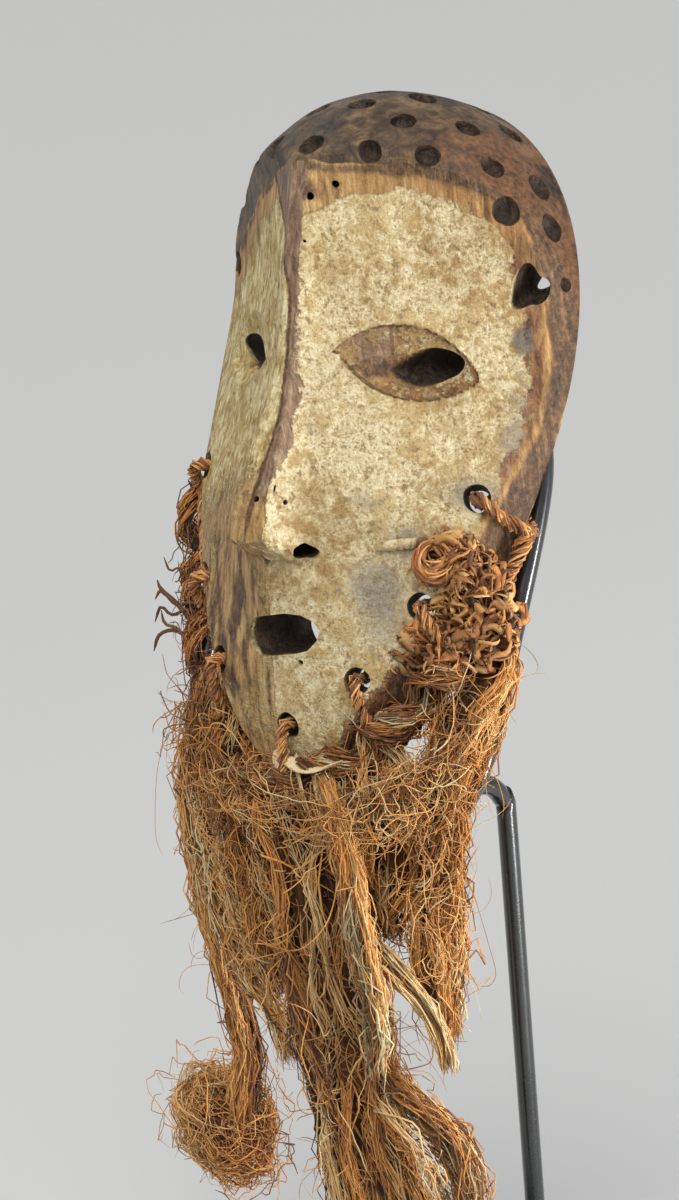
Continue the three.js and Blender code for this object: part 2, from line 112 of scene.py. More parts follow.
def turned(angle, u, v):
    """Places on a circle, or an oval, whose two half axes are u and v."""
    return np.cos(angle)[..., None] * u + np.sin(angle)[..., None] * v


def circle_angles(count):
    return np.arange(count) / count * 2 * math.pi


def along(stations, at):
    """A smooth curve through (position, value) stations."""
    where = np.array([s[0] for s in stations], float)
    value = np.array([s[1] for s in stations], float)
    slope = np.empty_like(value)
    slope[1:-1] = (value[2:] - value[:-2]) / (where[2:] - where[:-2])
    slope[0] = (value[1] - value[0]) / (where[1] - where[0])
    slope[-1] = (value[-1] - value[-2]) / (where[-1] - where[-2])
    t = np.clip(np.asarray(at, float), where[0], where[-1])
    i = np.clip(np.searchsorted(where, t, side="left") - 1, 0, len(where) - 2)
    width = where[i + 1] - where[i]
    s = (t - where[i]) / width
    ease = s * s * (3 - 2 * s)
    bend = width * s * (1 - s) * (slope[i] * (1 - s) - slope[i + 1] * s)
    return value[i] + (value[i + 1] - value[i]) * ease + bend


def smoothstep(x, low, high_):
    t = np.clip((np.asarray(x, float) - low) / (high_ - low), 0, 1)
    return t * t * (3 - 2 * t)


def soft_min(a, b, rounding):
    h = np.clip(0.5 + 0.5 * (b - a) / rounding, 0, 1)
    return b + (a - b) * h - rounding * h * (1 - h)


def soft_max(a, b, rounding):
    return -soft_min(-a, -b, rounding)


def soft_abs(x, rounding):
    return np.hypot(x, rounding) - rounding


def lattice(ix, iy, iz, seed):
    h = (ix * 374761393 + iy * 668265263 + iz * 1274126177 + seed * 974634777) & 0xFFFFFFFF
    h = ((h ^ (h >> 13)) * 1103515245) & 0xFFFFFFFF
    h = ((h ^ (h >> 16)) * 2654435761) & 0xFFFFFFFF
    return ((h >> 8) & 0xFFFF) / 32767.5 - 1


def value_noise(points, seed=0):
    """Smooth noise from -1 to 1 with features one unit across."""
    p = np.asarray(points, float)
    base = np.floor(p).astype(np.int64)
    f = p - base
    f = f * f * (3 - 2 * f)
    total = np.zeros(p.shape[:-1])
    for dx in (0, 1):
        for dy in (0, 1):
            for dz in (0, 1):
                weight = np.abs(1 - dx - f[..., 0]) * np.abs(1 - dy - f[..., 1]) * np.abs(1 - dz - f[..., 2])
                total += weight * lattice(base[..., 0] + dx, base[..., 1] + dy, base[..., 2] + dz, seed)
    return total


def fractal(points, octaves=3, seed=0):
    total = 0.0
    for k in range(octaves):
        total = total + value_noise(np.asarray(points) * 2.03 ** k + 17.3 * k, seed + k) * 0.5 ** k
    return total


# The carved surface, as in the solid model
def side_share(x, z):
    left = LEFT_SHARE - 0.1 * np.clip((high(0.377) - z) / high(0.352), 0, 1)
    return np.where(x < 0, left, 1.0)


def rim_half_width(z):
    above = np.clip((z - WIDEST) / (MASK_HEIGHT - WIDEST), 0, 1)
    below = np.clip((WIDEST - z) / WIDEST, 0, 1)
    head = (1 - above ** 2.12) ** (1 / 2.12)
    chin = (1 - below ** 1.72) ** (1 / 1.72)
    return wide(np.where(z > WIDEST, head, chin))


def rim_radius_exact(phi):
    inside = np.zeros_like(phi)
    outside = np.full_like(phi, MASK_HEIGHT)
    for _ in range(40):
        r = (inside + outside) / 2
        z = POLE + r * np.cos(phi)
        within = (z > 0) & (z < MASK_HEIGHT) & (np.abs(r * np.sin(phi)) < rim_half_width(z))
        inside = np.where(within, r, inside)
        outside = np.where(within, outside, r)
    return inside


RIM_ANGLES = np.linspace(-math.pi, math.pi, 2881)
RIM_RADII = rim_radius_exact(RIM_ANGLES)


def rim_radius(phi):
    wrapped = (np.asarray(phi) + math.pi) % (2 * math.pi) - math.pi
    return np.interp(wrapped, RIM_ANGLES, RIM_RADII)


def cheek_depth(x, z):
    share = z / MASK_HEIGHT
    fall = along(CHEEK_SLOPE, share) * soft_abs(x, wide(along(MIDDLE_ROUND, share)))
    return deep(along(FACE_DEPTH, share)) - fall


def nose_half(z):
    flare = np.clip((NOSE_TOP - z) / (NOSE_TOP - NOSE_TIP), 0, 1)
    return NOSE_HALF_TOP + (NOSE_HALF_TIP - NOSE_HALF_TOP) * flare


def nose_depth(x, z):
    flank = np.where(z > NOSE_TOP, BROW_FLANK, NOSE_FLANK)
    fall = flank * soft_abs(np.maximum(0, np.abs(x) - nose_half(z)), 0.8)
    undercut = np.maximum(0, NOSE_TIP - z) * NOSE_UNDERCUT
    return deep(along(RIDGE_DEPTH, z / MASK_HEIGHT)) - fall - undercut


def dome_depth(rho, phi):
    n = DOME_SIDE + (DOME_TOP - DOME_SIDE) * np.clip(np.cos(phi), 0, 1) ** 2
    flatter = 1 - 0.12 * np.clip(-rho * np.sin(phi) * 2, 0, 1)
    return deep(DOME_DEPTH * flatter * np.maximum(0, 1 - rho ** n) ** (1 / n))


def bevel_depth(rho, phi, radius):
    return (2.3 + 12 * smoothstep(np.cos(phi), 0.35, 0.85)) * (1 - rho) * radius


def plain_xz(rho, phi, radius):
    return rho * radius * np.sin(phi), POLE + rho * radius * np.cos(phi)


def outer_point(rho, phi):
    radius = rim_radius(phi)
    x, z = plain_xz(rho, phi, radius)
    face = soft_max(cheek_depth(x, z), nose_depth(x, z), 1.5)
    depth = soft_min(soft_min(face, dome_depth(rho, phi), 2.0), bevel_depth(rho, phi, radius), 2.0)
    return np.stack([x * side_share(x, z), -np.maximum(depth, 0), z], -1)


def hollow_point(rho, phi):
    radius = rim_radius(phi) - WALL
    x, z = plain_xz(rho, phi, radius)
    thicker = (FACE_WALL - WALL) * smoothstep(1 - rho, 0.12, 0.38)
    inside = soft_min(cheek_depth(x, z), dome_depth(rho, phi), 8.0) - WALL * 1.12 - thicker
    depth = soft_min(inside, 2.6 * (1 - rho) * radius, 5.0)
    return np.stack([x * side_share(x, z), -np.maximum(depth, 0), z], -1)


def polar(x, z):
    """Direction and share of the rim's distance of a place on the mask."""
    plain = x / side_share(x, z)
    phi = np.arctan2(plain, z - POLE)
    return np.hypot(plain, z - POLE) / rim_radius(phi), phi


def surface_at(x, z):
    rho, phi = polar(np.asarray(x, float), np.asarray(z, float))
    return outer_point(np.minimum(rho, 1), phi)


def surface_frame(x, z):
    step = 2.0
    across = surface_at(x + step, z) - surface_at(x - step, z)
    upward = surface_at(x, z + step) - surface_at(x, z - step)
    return surface_at(x, z), unit(np.cross(across, upward))


def upright_axes(point, normal):
    """A place with its level direction, the one at right angles to it and the way out."""
    level = unit(np.cross((0, 0, 1), normal))
    return point, level, np.cross(normal, level), normal


def stand_axes(x, z):
    return upright_axes(*surface_frame(x, z))


def level_way(x, z, aside=0.0):
    """Place and axes of a hole cut level through the leaned face, straight or also aside."""
    point, _ = surface_frame(x, z)
    return upright_axes(point, unit(np.array([aside, -math.cos(LEAN), -math.sin(LEAN)])))


def to_stand(p):
    """From the mask's upright frame to the stand's frame."""
    p = np.asarray(p, float)
    y = p[..., 1] * math.cos(LEAN) + p[..., 2] * math.sin(LEAN) - CHIN_FORWARD
    z = -p[..., 1] * math.sin(LEAN) + p[..., 2] * math.cos(LEAN) + CHIN_HEIGHT
    return np.stack([p[..., 0], y, z], -1)


# Meshes from arrays
def mesh_object(name, points, faces, smooth=True):
    mesh = bpy.data.meshes.new(name)
    mesh.from_pydata((np.asarray(points) * MM).tolist(), [], [tuple(map(int, f)) for f in faces])
    mesh.update()
    if smooth:
        mesh.shade_smooth()
    obj = bpy.data.objects.new(name, mesh)
    bpy.context.scene.collection.objects.link(obj)
    return obj


def fast_mesh(name, points, triangles):
    """A smooth mesh from arrays of points and triangles."""
    mesh = bpy.data.meshes.new(name)
    mesh.vertices.add(len(points))
    mesh.vertices.foreach_set("co", (points * MM).astype(np.float32).ravel())
    mesh.loops.add(triangles.size)
    mesh.loops.foreach_set("vertex_index", triangles.astype(np.int32).ravel())
    mesh.polygons.add(len(triangles))
    mesh.polygons.foreach_set("loop_start", np.arange(0, triangles.size, 3, dtype=np.int32))
    mesh.update(calc_edges=True)
    mesh.shade_smooth()
    obj = bpy.data.objects.new(name, mesh)
    bpy.context.scene.collection.objects.link(obj)
    return obj


def paint(obj, name, colours):
    layer = obj.data.color_attributes.new(name, "FLOAT_COLOR", "POINT")
    layer.data.foreach_set("color", colours.astype(np.float32).ravel())


def sharpen(obj, degrees):
    bm = bmesh.new()
    bm.from_mesh(obj.data)
    limit = math.radians(degrees)
    for edge in bm.edges:
        edge.smooth = edge.calc_face_angle(0.0) < limit
    bm.to_mesh(obj.data)
    bm.free()


def ring_faces(rings, around, first=0):
    """Quads between rings of points that follow each other."""
    faces = []
    for i in range(rings - 1):
        for j in range(around):
            a = first + i * around + j
            b = first + i * around + (j + 1) % around
            faces.append((a, b, b + around, a + around))
    return faces


def curve_points(route, count):
    """Evenly spaced points on a smooth curve through the route."""
    p = np.asarray(route, float)
    ends = np.vstack([2 * p[0] - p[1], p, 2 * p[-1] - p[-2]])
    dense = []
    for i in range(1, len(ends) - 2):
        p0, p1, p2, p3 = ends[i - 1], ends[i], ends[i + 1], ends[i + 2]
        t = np.linspace(0, 1, 24, endpoint=False)[:, None]
        m1 = (p2 - p0) / 2
        m2 = (p3 - p1) / 2
        h = [2 * t ** 3 - 3 * t ** 2 + 1, t ** 3 - 2 * t ** 2 + t, -2 * t ** 3 + 3 * t ** 2, t ** 3 - t ** 2]
        dense.append(h[0] * p1 + h[1] * m1 + h[2] * p2 + h[3] * m2)
    dense = np.vstack(dense + [p[-1:]])
    reach = np.concatenate([[0], np.cumsum(np.linalg.norm(np.diff(dense, axis=0), axis=1))])
    even = np.linspace(0, reach[-1], count)
    return np.stack([np.interp(even, reach, dense[:, k]) for k in range(3)], -1)


def moving_frames(points):
    """Two directions across a curve that turn with it as little as they can."""
    tangent = unit(np.gradient(points, axis=0))
    normal = [unit(np.cross(tangent[0], (0.3, 0.9, 0.1)))]
    for t in tangent[1:]:
        normal.append(unit(normal[-1] - t * np.dot(normal[-1], t)))
    normal = np.array(normal)
    return normal, np.cross(tangent, normal)


def sweep(name, path, n, b, size, sides):
    """A closed body along a path. n and b are its half axes, and size scales each ring or each point."""
    ring = turned(circle_angles(sides), n[:, None], b[:, None])
    points = (path[:, None] + ring * np.asarray(size)[..., None]).reshape(-1, 3)
    faces = ring_faces(len(path), sides)
    faces.append(tuple(range(sides - 1, -1, -1)))
    faces.append(tuple(range((len(path) - 1) * sides, len(path) * sides)))
    obj = mesh_object(name, points, faces)
    fix_outward(obj)
    return obj


def rod_piece(name, route, count, sides):
    """A round rod along a route, with softened ends."""
    path = curve_points(route, count)
    radius = np.full((count, 1), ROD_RADIUS)
    radius[[0, -1]] *= 0.7
    return sweep(name, path, *moving_frames(path), radius, sides)


def fix_outward(obj):
    bm = bmesh.new()
    bm.from_mesh(obj.data)
    bmesh.ops.recalc_face_normals(bm, faces=bm.faces)
    bm.to_mesh(obj.data)
    bm.free()


# Fibres: closed thin tubes with three or more corners
def strand_faces(points, corners):
    """Triangles of one strand, closed at both ends."""
    faces = []
    for i in range(points - 1):
        for k in range(corners):
            a = i * corners + k
            c = i * corners + (k + 1) % corners
            faces += [(a, c, c + corners), (a, c + corners, a + corners)]
    last = (points - 1) * corners
    for k in range(1, corners - 1):
        faces += [(0, k + 1, k), (last, last + k, last + k + 1)]
    return np.array(faces)


def strand_mesh(name, paths, radii, tint, flat=1.0, corners=3, inner=None):
    """One mesh of many strands. paths is strands x points x 3, radii and tint are one per strand."""
    count, points, _ = paths.shape
    tangent = unit(np.gradient(paths, axis=1))
    guide = np.random.default_rng(points * 7 + count).normal(size=(count, 1, 3))
    n = unit(guide - tangent * np.sum(guide * tangent, axis=2, keepdims=True))
    b = np.cross(tangent, n)
    taper = np.ones(points)
    taper[0] = 0.6
    taper[-2:] = (0.7, 0.25)
    r = radii[:, None, None] * taper[None, :, None]
    angles = [2 * math.pi * k / corners for k in range(corners)]
    rings = [paths + n * r * math.cos(angle) + b * r * flat * math.sin(angle) for angle in angles]
    vertices = np.stack(rings, axis=2).reshape(-1, 3)
    first = (np.arange(count) * points * corners)[:, None, None]
    obj = fast_mesh(name, vertices, (strand_faces(points, corners)[None] + first).reshape(-1, 3))
    shape = (count, points, corners)
    tints = np.broadcast_to(tint[:, None, None], shape)
    share = np.broadcast_to(np.linspace(0, 1, points)[None, :, None], shape)
    # The third channel is how far out in its bundle each point lies; the fibre material paints shade where it
    # is low.
    depth = np.ones(shape) if inner is None else np.broadcast_to(inner[:, :, None], shape)
    paint(obj, "fibre", np.stack([tints, share, depth, np.ones(shape)], -1).reshape(-1, 4))
    return obj


def wiggle(rng, count, points, amplitude, waves):
    """Smooth random sway, strands x points x 3, that grows from nothing at the root."""
    t = np.linspace(0, 1, points)[None, :, None]
    sway = np.zeros((count, points, 3))
    for k in (1, 2, 3):
        phase = rng.uniform(0, 2 * math.pi, (count, 1, 3))
        turns = rng.uniform(0.4, 1.0, (count, 1, 3)) * waves * k
        sway += np.sin(2 * math.pi * turns * t + phase) / k - np.sin(phase) / k * (1 - t)
    return sway * amplitude * (0.15 + 0.85 * t)


def smooth_random(rng, shape, points, waves):
    """Smooth random curves from about -1 to 1 along the last axis."""
    t = np.linspace(0, 1, points)
    total = np.zeros((*shape, points))
    for k in range(3):
        turns = rng.uniform(0.35, 1.0, (*shape, 1)) * waves * (k + 1) / 1.6
        total += np.sin(2 * math.pi * (turns * t + rng.uniform(0, 1, (*shape, 1)))) / (k + 1.3)
    return total


def hank_route(hank):
    if "path" in hank:
        return hank["path"]
    return [(x, y, CHIN_HEIGHT - share * BEARD_LENGTH) for x, y, share in hank["route"]]


def radius_at(bundle, share):
    """A bundle's radius by the share of its length."""
    last = len(bundle["radii"]) - 1
    return along([(i / last, r) for i, r in enumerate(bundle["radii"])], share)


def between(table, at):
    """Rows of a table at places that fall between them."""
    low = np.minimum(at.astype(int), len(table) - 2)
    f = (at - low)[..., None]
    return table[low] * (1 - f) + table[low + 1] * f


def lock_places(rng, hank, locks, waves, stages):
    """Where each lock runs across its hank: two curves a lock, stages x 2."""
    angle = rng.uniform(0, 2 * math.pi, locks)
    out = np.sqrt(rng.uniform(0.1, 1.0, locks)) * 0.85
    drift = hank.get("drift", 0.3)
    u = (out * np.cos(angle))[:, None] + drift * smooth_random(rng, (locks,), stages, waves)
    v = (out * np.sin(angle))[:, None] + drift * smooth_random(rng, (locks,), stages, waves)
    return u, v


def hank_paths(rng, hank, count, points):
    """Strands that follow a hank's route in locks. Gives the paths and how far out each point lies."""
    steps, stages = 160, 60
    spine = curve_points(hank_route(hank), steps)
    length = np.linalg.norm(np.diff(spine, axis=0), axis=1).sum()
    n, b = moving_frames(spine)
    locks = hank["locks"]
    lock = rng.integers(0, locks, count)
    middle = rng.uniform(-0.05, 1.02, count)
    reach = rng.uniform(*hank["share"], count)
    start = np.clip(middle - reach / 2, 0, 0.8)
    end = np.clip(middle + reach / 2, 0.12, 1.04)
    t = np.linspace(0, 1, points)[None]
    s = start[:, None] + (end - start)[:, None] * t
    at = np.clip(s, 0, 1) * (steps - 1)
    centre = between(spine, at) + np.maximum(s - 1, 0)[..., None] * (spine[-1] - spine[-8]) * 16
    radius = radius_at(hank, np.clip(s, 0, 1))

    lock_u, lock_v = lock_places(rng, hank, locks, length / hank.get("lock_wave", 60), stages)
    stage = np.clip(s, 0, 1) * (stages - 1)
    low = np.minimum(stage.astype(int), stages - 2)
    g = stage - low
    row = lock[:, None]
    u = lock_u[row, low] * (1 - g) + lock_u[row, low + 1] * g
    v = lock_v[row, low] * (1 - g) + lock_v[row, low + 1] * g
    turn = 2 * math.pi * hank.get("twist", 0) * s
    u, v = u * np.cos(turn) - v * np.sin(turn), u * np.sin(turn) + v * np.cos(turn)
    own_angle = rng.uniform(0, 2 * math.pi, count)
    own_out = rng.normal(0, hank["gather"], count)
    u = u + (own_out * np.cos(own_angle))[:, None] * (0.7 + 0.6 * s)
    v = v + (own_out * np.sin(own_angle))[:, None] * (0.7 + 0.6 * s)
    out = np.hypot(u, v)
    squeeze = np.where(out > 1.0, 1.0 / out, 1)
    u, v = u * squeeze, v * squeeze
    paths = centre + between(n, at) * (u * radius)[..., None]
    paths += between(b, at) * (v * radius * hank.get("flat", 0.9))[..., None]

    own_length = (end - start) * length
    amplitude = np.minimum(hank["sway"] * np.exp(rng.normal(0, 0.65, count)), 3.2)
    for axis in range(3):
        for shortest, longest, size in ((9, 30, 1.0), (25, 60, 1.3)):
            turns = own_length / rng.uniform(shortest, longest, count)
            phase = rng.uniform(0, 1, count)
            wave = np.sin(2 * math.pi * (turns[:, None] * t + phase[:, None]))
            paths[..., axis] += size * amplitude[:, None] * wave
    return paths, np.clip(np.hypot(u, v), 0, 1), lock


# The hanks of the beard: middle lines with heights as shares of the beard, then radii and looks
HANKS = {
    "beard_left_hank": dict(
        route=[(-40, -38, -0.1), (-46, -37, 0.02), (-49, -35, 0.13), (-50, -34, 0.27), (-47, -33, 0.4),
               (-43, -33, 0.53), (-45, -33, 0.6), (-47, -33, 0.66)],
        radii=[6, 9, 8.6, 7, 5.4, 4.2, 4.6, 6], locks=15, gather=0.17, sway=0.42, drift=0.25, tint=0.56,
        share=(0.4, 1.0), strands=1050),
    "beard_centre": dict(
        route=[(2, -54, -0.02), (6, -52, 0.12), (8, -50, 0.3), (9, -48, 0.45), (12, -47, 0.6), (18, -46, 0.8),
               (20, -45, 1)],
        radii=[15, 17.5, 17, 15, 14.5, 19, 14], locks=34, gather=0.1, sway=0.6, drift=0.36, flat=0.85,
        tint=0.52, share=(0.2, 0.65), strands=1900),
    "beard_left_inner": dict(
        route=[(-26, -43, -0.12), (-27, -43, 0.02), (-27, -42, 0.12), (-25, -42, 0.25), (-19, -43, 0.36)],
        radii=[7, 10, 11, 9, 4], locks=14, gather=0.2, sway=0.9, drift=0.45, tint=0.44, share=(0.3, 0.9),
        strands=600),
    "beard_right": dict(
        route=[(52, -22, -0.27), (52, -30, -0.18), (50, -37, -0.1), (46, -41, 0.0), (42, -42, 0.1),
               (39.5, -41, 0.2), (38.5, -40, 0.3), (39.5, -40, 0.38)],
        radii=[7, 9.5, 9.5, 9, 8.6, 8.4, 7.5, 4.5], locks=15, gather=0.13, sway=0.55, drift=0.5, lock_wave=34,
        tint=0.55, share=(0.3, 0.8), strands=1300),
    "beard_right_inner": dict(
        route=[(27, -44, -0.14), (30, -45, -0.05), (32, -45, 0.02), (29, -44, 0.13), (24, -43, 0.22)],
        radii=[6, 10, 10, 9, 5], locks=10, gather=0.17, sway=0.7, drift=0.45, lock_wave=34, tint=0.56,
        share=(0.3, 0.9), strands=520),
    "beard_right_curl": dict(
        route=[(27, -58, 0.2), (33, -56, 0.24), (39, -53, 0.29), (45, -49, 0.36), (46, -47, 0.43)],
        radii=[3.6, 3.4, 2.8, 2.3, 2.2], locks=6, gather=0.3, sway=0.35, drift=0.2, tint=0.76,
        share=(0.5, 1.0), strands=190),
}
# How thick the dark core in a hank is, as a share of its radius. The core is a solid coloured as the painted
# shade inside the hank.
CORE_SHARE = 0.66
CORELESS = "beard_right_curl"
# Locks that hang beside and in front of the hanks, by their middle lines
LOOSE_LOCKS = {
    "cord_left_rope": dict(
        path=[(-64, -13, 275), (-62, -17, 264), (-59.5, -20, 252), (-55.5, -26, 238), (-48, -34, 225),
              (-37, -42, 215), (-21, -52, 206.5)],
        radii=[4.6, 4.4, 3.9, 3.9, 4.0, 3.8, 3.4], locks=5, gather=0.26, sway=0.32, drift=0.14, twist=5,
        tint=0.34, share=(0.15, 0.6), strands=430),
    "cord_chin_rope": dict(
        path=[(-20, -53, 205.5), (-9, -57, 205), (4, -58.5, 208), (18, -55, 212.5), (31, -49, 220),
              (40, -44, 229.5), (49, -38, 239)],
        radii=[3.2, 3.6, 4.2, 4.8, 5.4, 5.8, 6], locks=5, gather=0.26, sway=0.35, drift=0.16, twist=4,
        tint=0.5, share=(0.15, 0.6), strands=520),
    "beard_pale_locks": dict(
        path=[(17, -58, 209), (22, -60, 203), (25, -61, 191), (27, -61, 177), (30, -61, 160), (30, -59, 145),
              (28, -57, 128)],
        radii=[4, 7, 8.5, 8.5, 7.5, 6, 4], locks=9, gather=0.16, sway=0.6, drift=0.45, flat=0.5, tint=0.76,
        share=(0.3, 0.8), strands=360),
    "beard_left_strand": dict(
        path=[(-44, -40, 196), (-41, -42, 173), (-38, -42, 152), (-31, -44, 140), (-20, -46, 131),
              (-15, -46, 119)],
        radii=[5, 4, 3.4, 3, 2.6, 2], locks=6, gather=0.25, sway=0.8, tint=0.5, share=(0.3, 1.0),
        strands=170),
    "beard_orange_curls": dict(
        path=[(24, -50, 118), (33, -52, 112), (41, -50, 105), (46, -48, 92), (44, -46, 74), (36, -45, 60)],
        radii=[6, 8, 9, 9, 9, 7], locks=12, gather=0.25, sway=0.9, drift=0.35, tint=0.62, share=(0.25, 0.7),
        strands=380),
}
# Frizzy tangles, by their middle lines, with the number of hairs, their length and how much they hang
TANGLES = {
    "beard_chin_frizz": dict(
        path=[(-24, -50, 205), (-7, -56, 203), (7, -58, 201), (21, -58, 202), (35, -56, 204), (46, -51, 209),
              (54, -44, 217)],
        radii=[7, 8, 8, 8, 9, 8.5, 7], hairs=620, length=(14, 36), down=0.9, tint=0.62),
    "beard_right_frizz": dict(
        path=[(56, -34, 240), (54, -41, 228), (50.5, -45, 214), (46.5, -46, 200), (43, -45, 184),
              (41.5, -44, 168), (43, -44, 152)],
        radii=[7, 9, 9.5, 9.5, 9.5, 9, 6], hairs=420, length=(10, 30), down=0.6, tint=0.62),
    "beard_left_frizz": dict(
        path=[(-45, -40, 222), (-36, -45, 215), (-28, -48, 205), (-21, -50, 192), (-14, -49, 176),
              (-10, -48, 158)],
        radii=[8, 10, 11, 11, 10, 8], hairs=430, length=(12, 42), down=0.55, tint=0.46),
    "beard_centre_frizz": dict(
        path=[(8, -56, 190), (10, -54, 165), (12, -52, 140), (16, -50, 115), (20, -48, 90), (24, -46, 60)],
        radii=[18, 19, 18, 17, 20, 18], hairs=380, length=(10, 36), down=0.7, tint=0.58),
    "cord_left_frizz": dict(
        path=[(-59, -17, 262), (-58, -20, 250), (-54, -25, 236), (-46, -31, 224), (-36, -39, 213)],
        radii=[3.6, 4.4, 5.6, 5.6, 6], hairs=330, length=(6, 26), down=0.6, tint=0.22),
}


# Materials
class Value:
    """An output socket that can be added, taken away and multiplied."""

    def __init__(self, shader, socket):
        self.shader = shader
        self.socket = socket

    def __add__(self, other):
        return self.shader.maths("ADD", self, other)

    def __sub__(self, other):
        return self.shader.maths("SUBTRACT", self, other)

    def __rsub__(self, other):
        return self.shader.maths("SUBTRACT", other, self)

    def __mul__(self, other):
        return self.shader.maths("MULTIPLY", self, other)

    __radd__ = __add__
    __rmul__ = __mul__


class Shader:
    """A short way to write a node tree."""

    def __init__(self, name):
        self.material = bpy.data.materials.new(name)
        self.material.use_nodes = True
        self.tree = self.material.node_tree
        self.tree.nodes.clear()
        output = self.tree.nodes.new("ShaderNodeOutputMaterial")
        self.surface = self.tree.nodes.new("ShaderNodeBsdfPrincipled")
        self.tree.links.new(self.surface.outputs[0], output.inputs[0])

    def put(self, socket, value):
        if isinstance(value, Value):
            self.tree.links.new(value.socket, socket)
        elif isinstance(value, tuple) and len(value) == 3 and socket.type == "RGBA":
            socket.default_value = (*value, 1)
        else:
            socket.default_value = value

    def node(self, kind, inputs, output=0, **settings):
        """A node with its inputs by name or number, and the rest of its settings."""
        made = self.tree.nodes.new(kind)
        for key, value in settings.items():
            setattr(made, key, value)
        for key, value in inputs.items():
            self.put(made.inputs[key], value)
        return Value(self, made.outputs[output])

    def place(self, stretch=(1, 1, 1)):
        place = self.node("ShaderNodeTexCoord", {}, "Object")
        return self.node("ShaderNodeMapping", {"Vector": place, "Scale": stretch})

    def noise(self, scale, detail=4.0, roughness=0.55, vector=None, distortion=0.0):
        inputs = {"Vector": vector or self.place(), "Scale": scale, "Detail": detail,
                  "Roughness": roughness, "Distortion": distortion}
        return self.node("ShaderNodeTexNoise", inputs, "Fac")

    def maths(self, operation, a, b):
        return self.node("ShaderNodeMath", {0: a, 1: b}, operation=operation)

    def step(self, value, low, high_):
        inputs = {"Value": value, 1: low, 2: high_}
        return self.node("ShaderNodeMapRange", inputs, interpolation_type="SMOOTHSTEP")

    def mix(self, factor, a, b, blend="MIX"):
        return self.node("ShaderNodeMix", {0: factor, 6: a, 7: b}, 2, data_type="RGBA", blend_type=blend)

    def ramp(self, factor, stops):
        made = self.tree.nodes.new("ShaderNodeValToRGB")
        self.put(made.inputs[0], factor)
        elements = made.color_ramp.elements
        elements[0].position, elements[0].color = stops[0][0], (*stops[0][1], 1)
        elements[1].position, elements[1].color = stops[-1][0], (*stops[-1][1], 1)
        for position, colour in stops[1:-1]:
            elements.new(position).color = (*colour, 1)
        return Value(self, made.outputs[0])

    def attribute(self, name):
        """The four channels of a colour attribute."""
        made = self.tree.nodes.new("ShaderNodeAttribute")
        made.attribute_name = name
        split = self.tree.nodes.new("ShaderNodeSeparateColor")
        self.tree.links.new(made.outputs["Color"], split.inputs[0])
        return [Value(self, socket) for socket in (*split.outputs, made.outputs["Alpha"])]

    def bump(self, height, strength, distance):
        inputs = {"Height": height, "Strength": strength, "Distance": distance}
        self.put(self.surface.inputs["Normal"], self.node("ShaderNodeBump", inputs))

    def finish(self, colour, roughness, specular=0.5, metallic=0.0):
        self.put(self.surface.inputs["Base Color"], colour)
        self.put(self.surface.inputs["Roughness"], roughness)
        self.surface.inputs["Specular IOR Level"].default_value = specular
        self.surface.inputs["Metallic"].default_value = metallic
        return self.material


def rgb(red, green, blue):
    """A colour named by its screen values, as the shader's linear ones."""
    def linear(c):
        c /= 255
        return c / 12.92 if c <= 0.04045 else ((c + 0.055) / 1.055) ** 2.4
    return linear(red), linear(green), linear(blue)


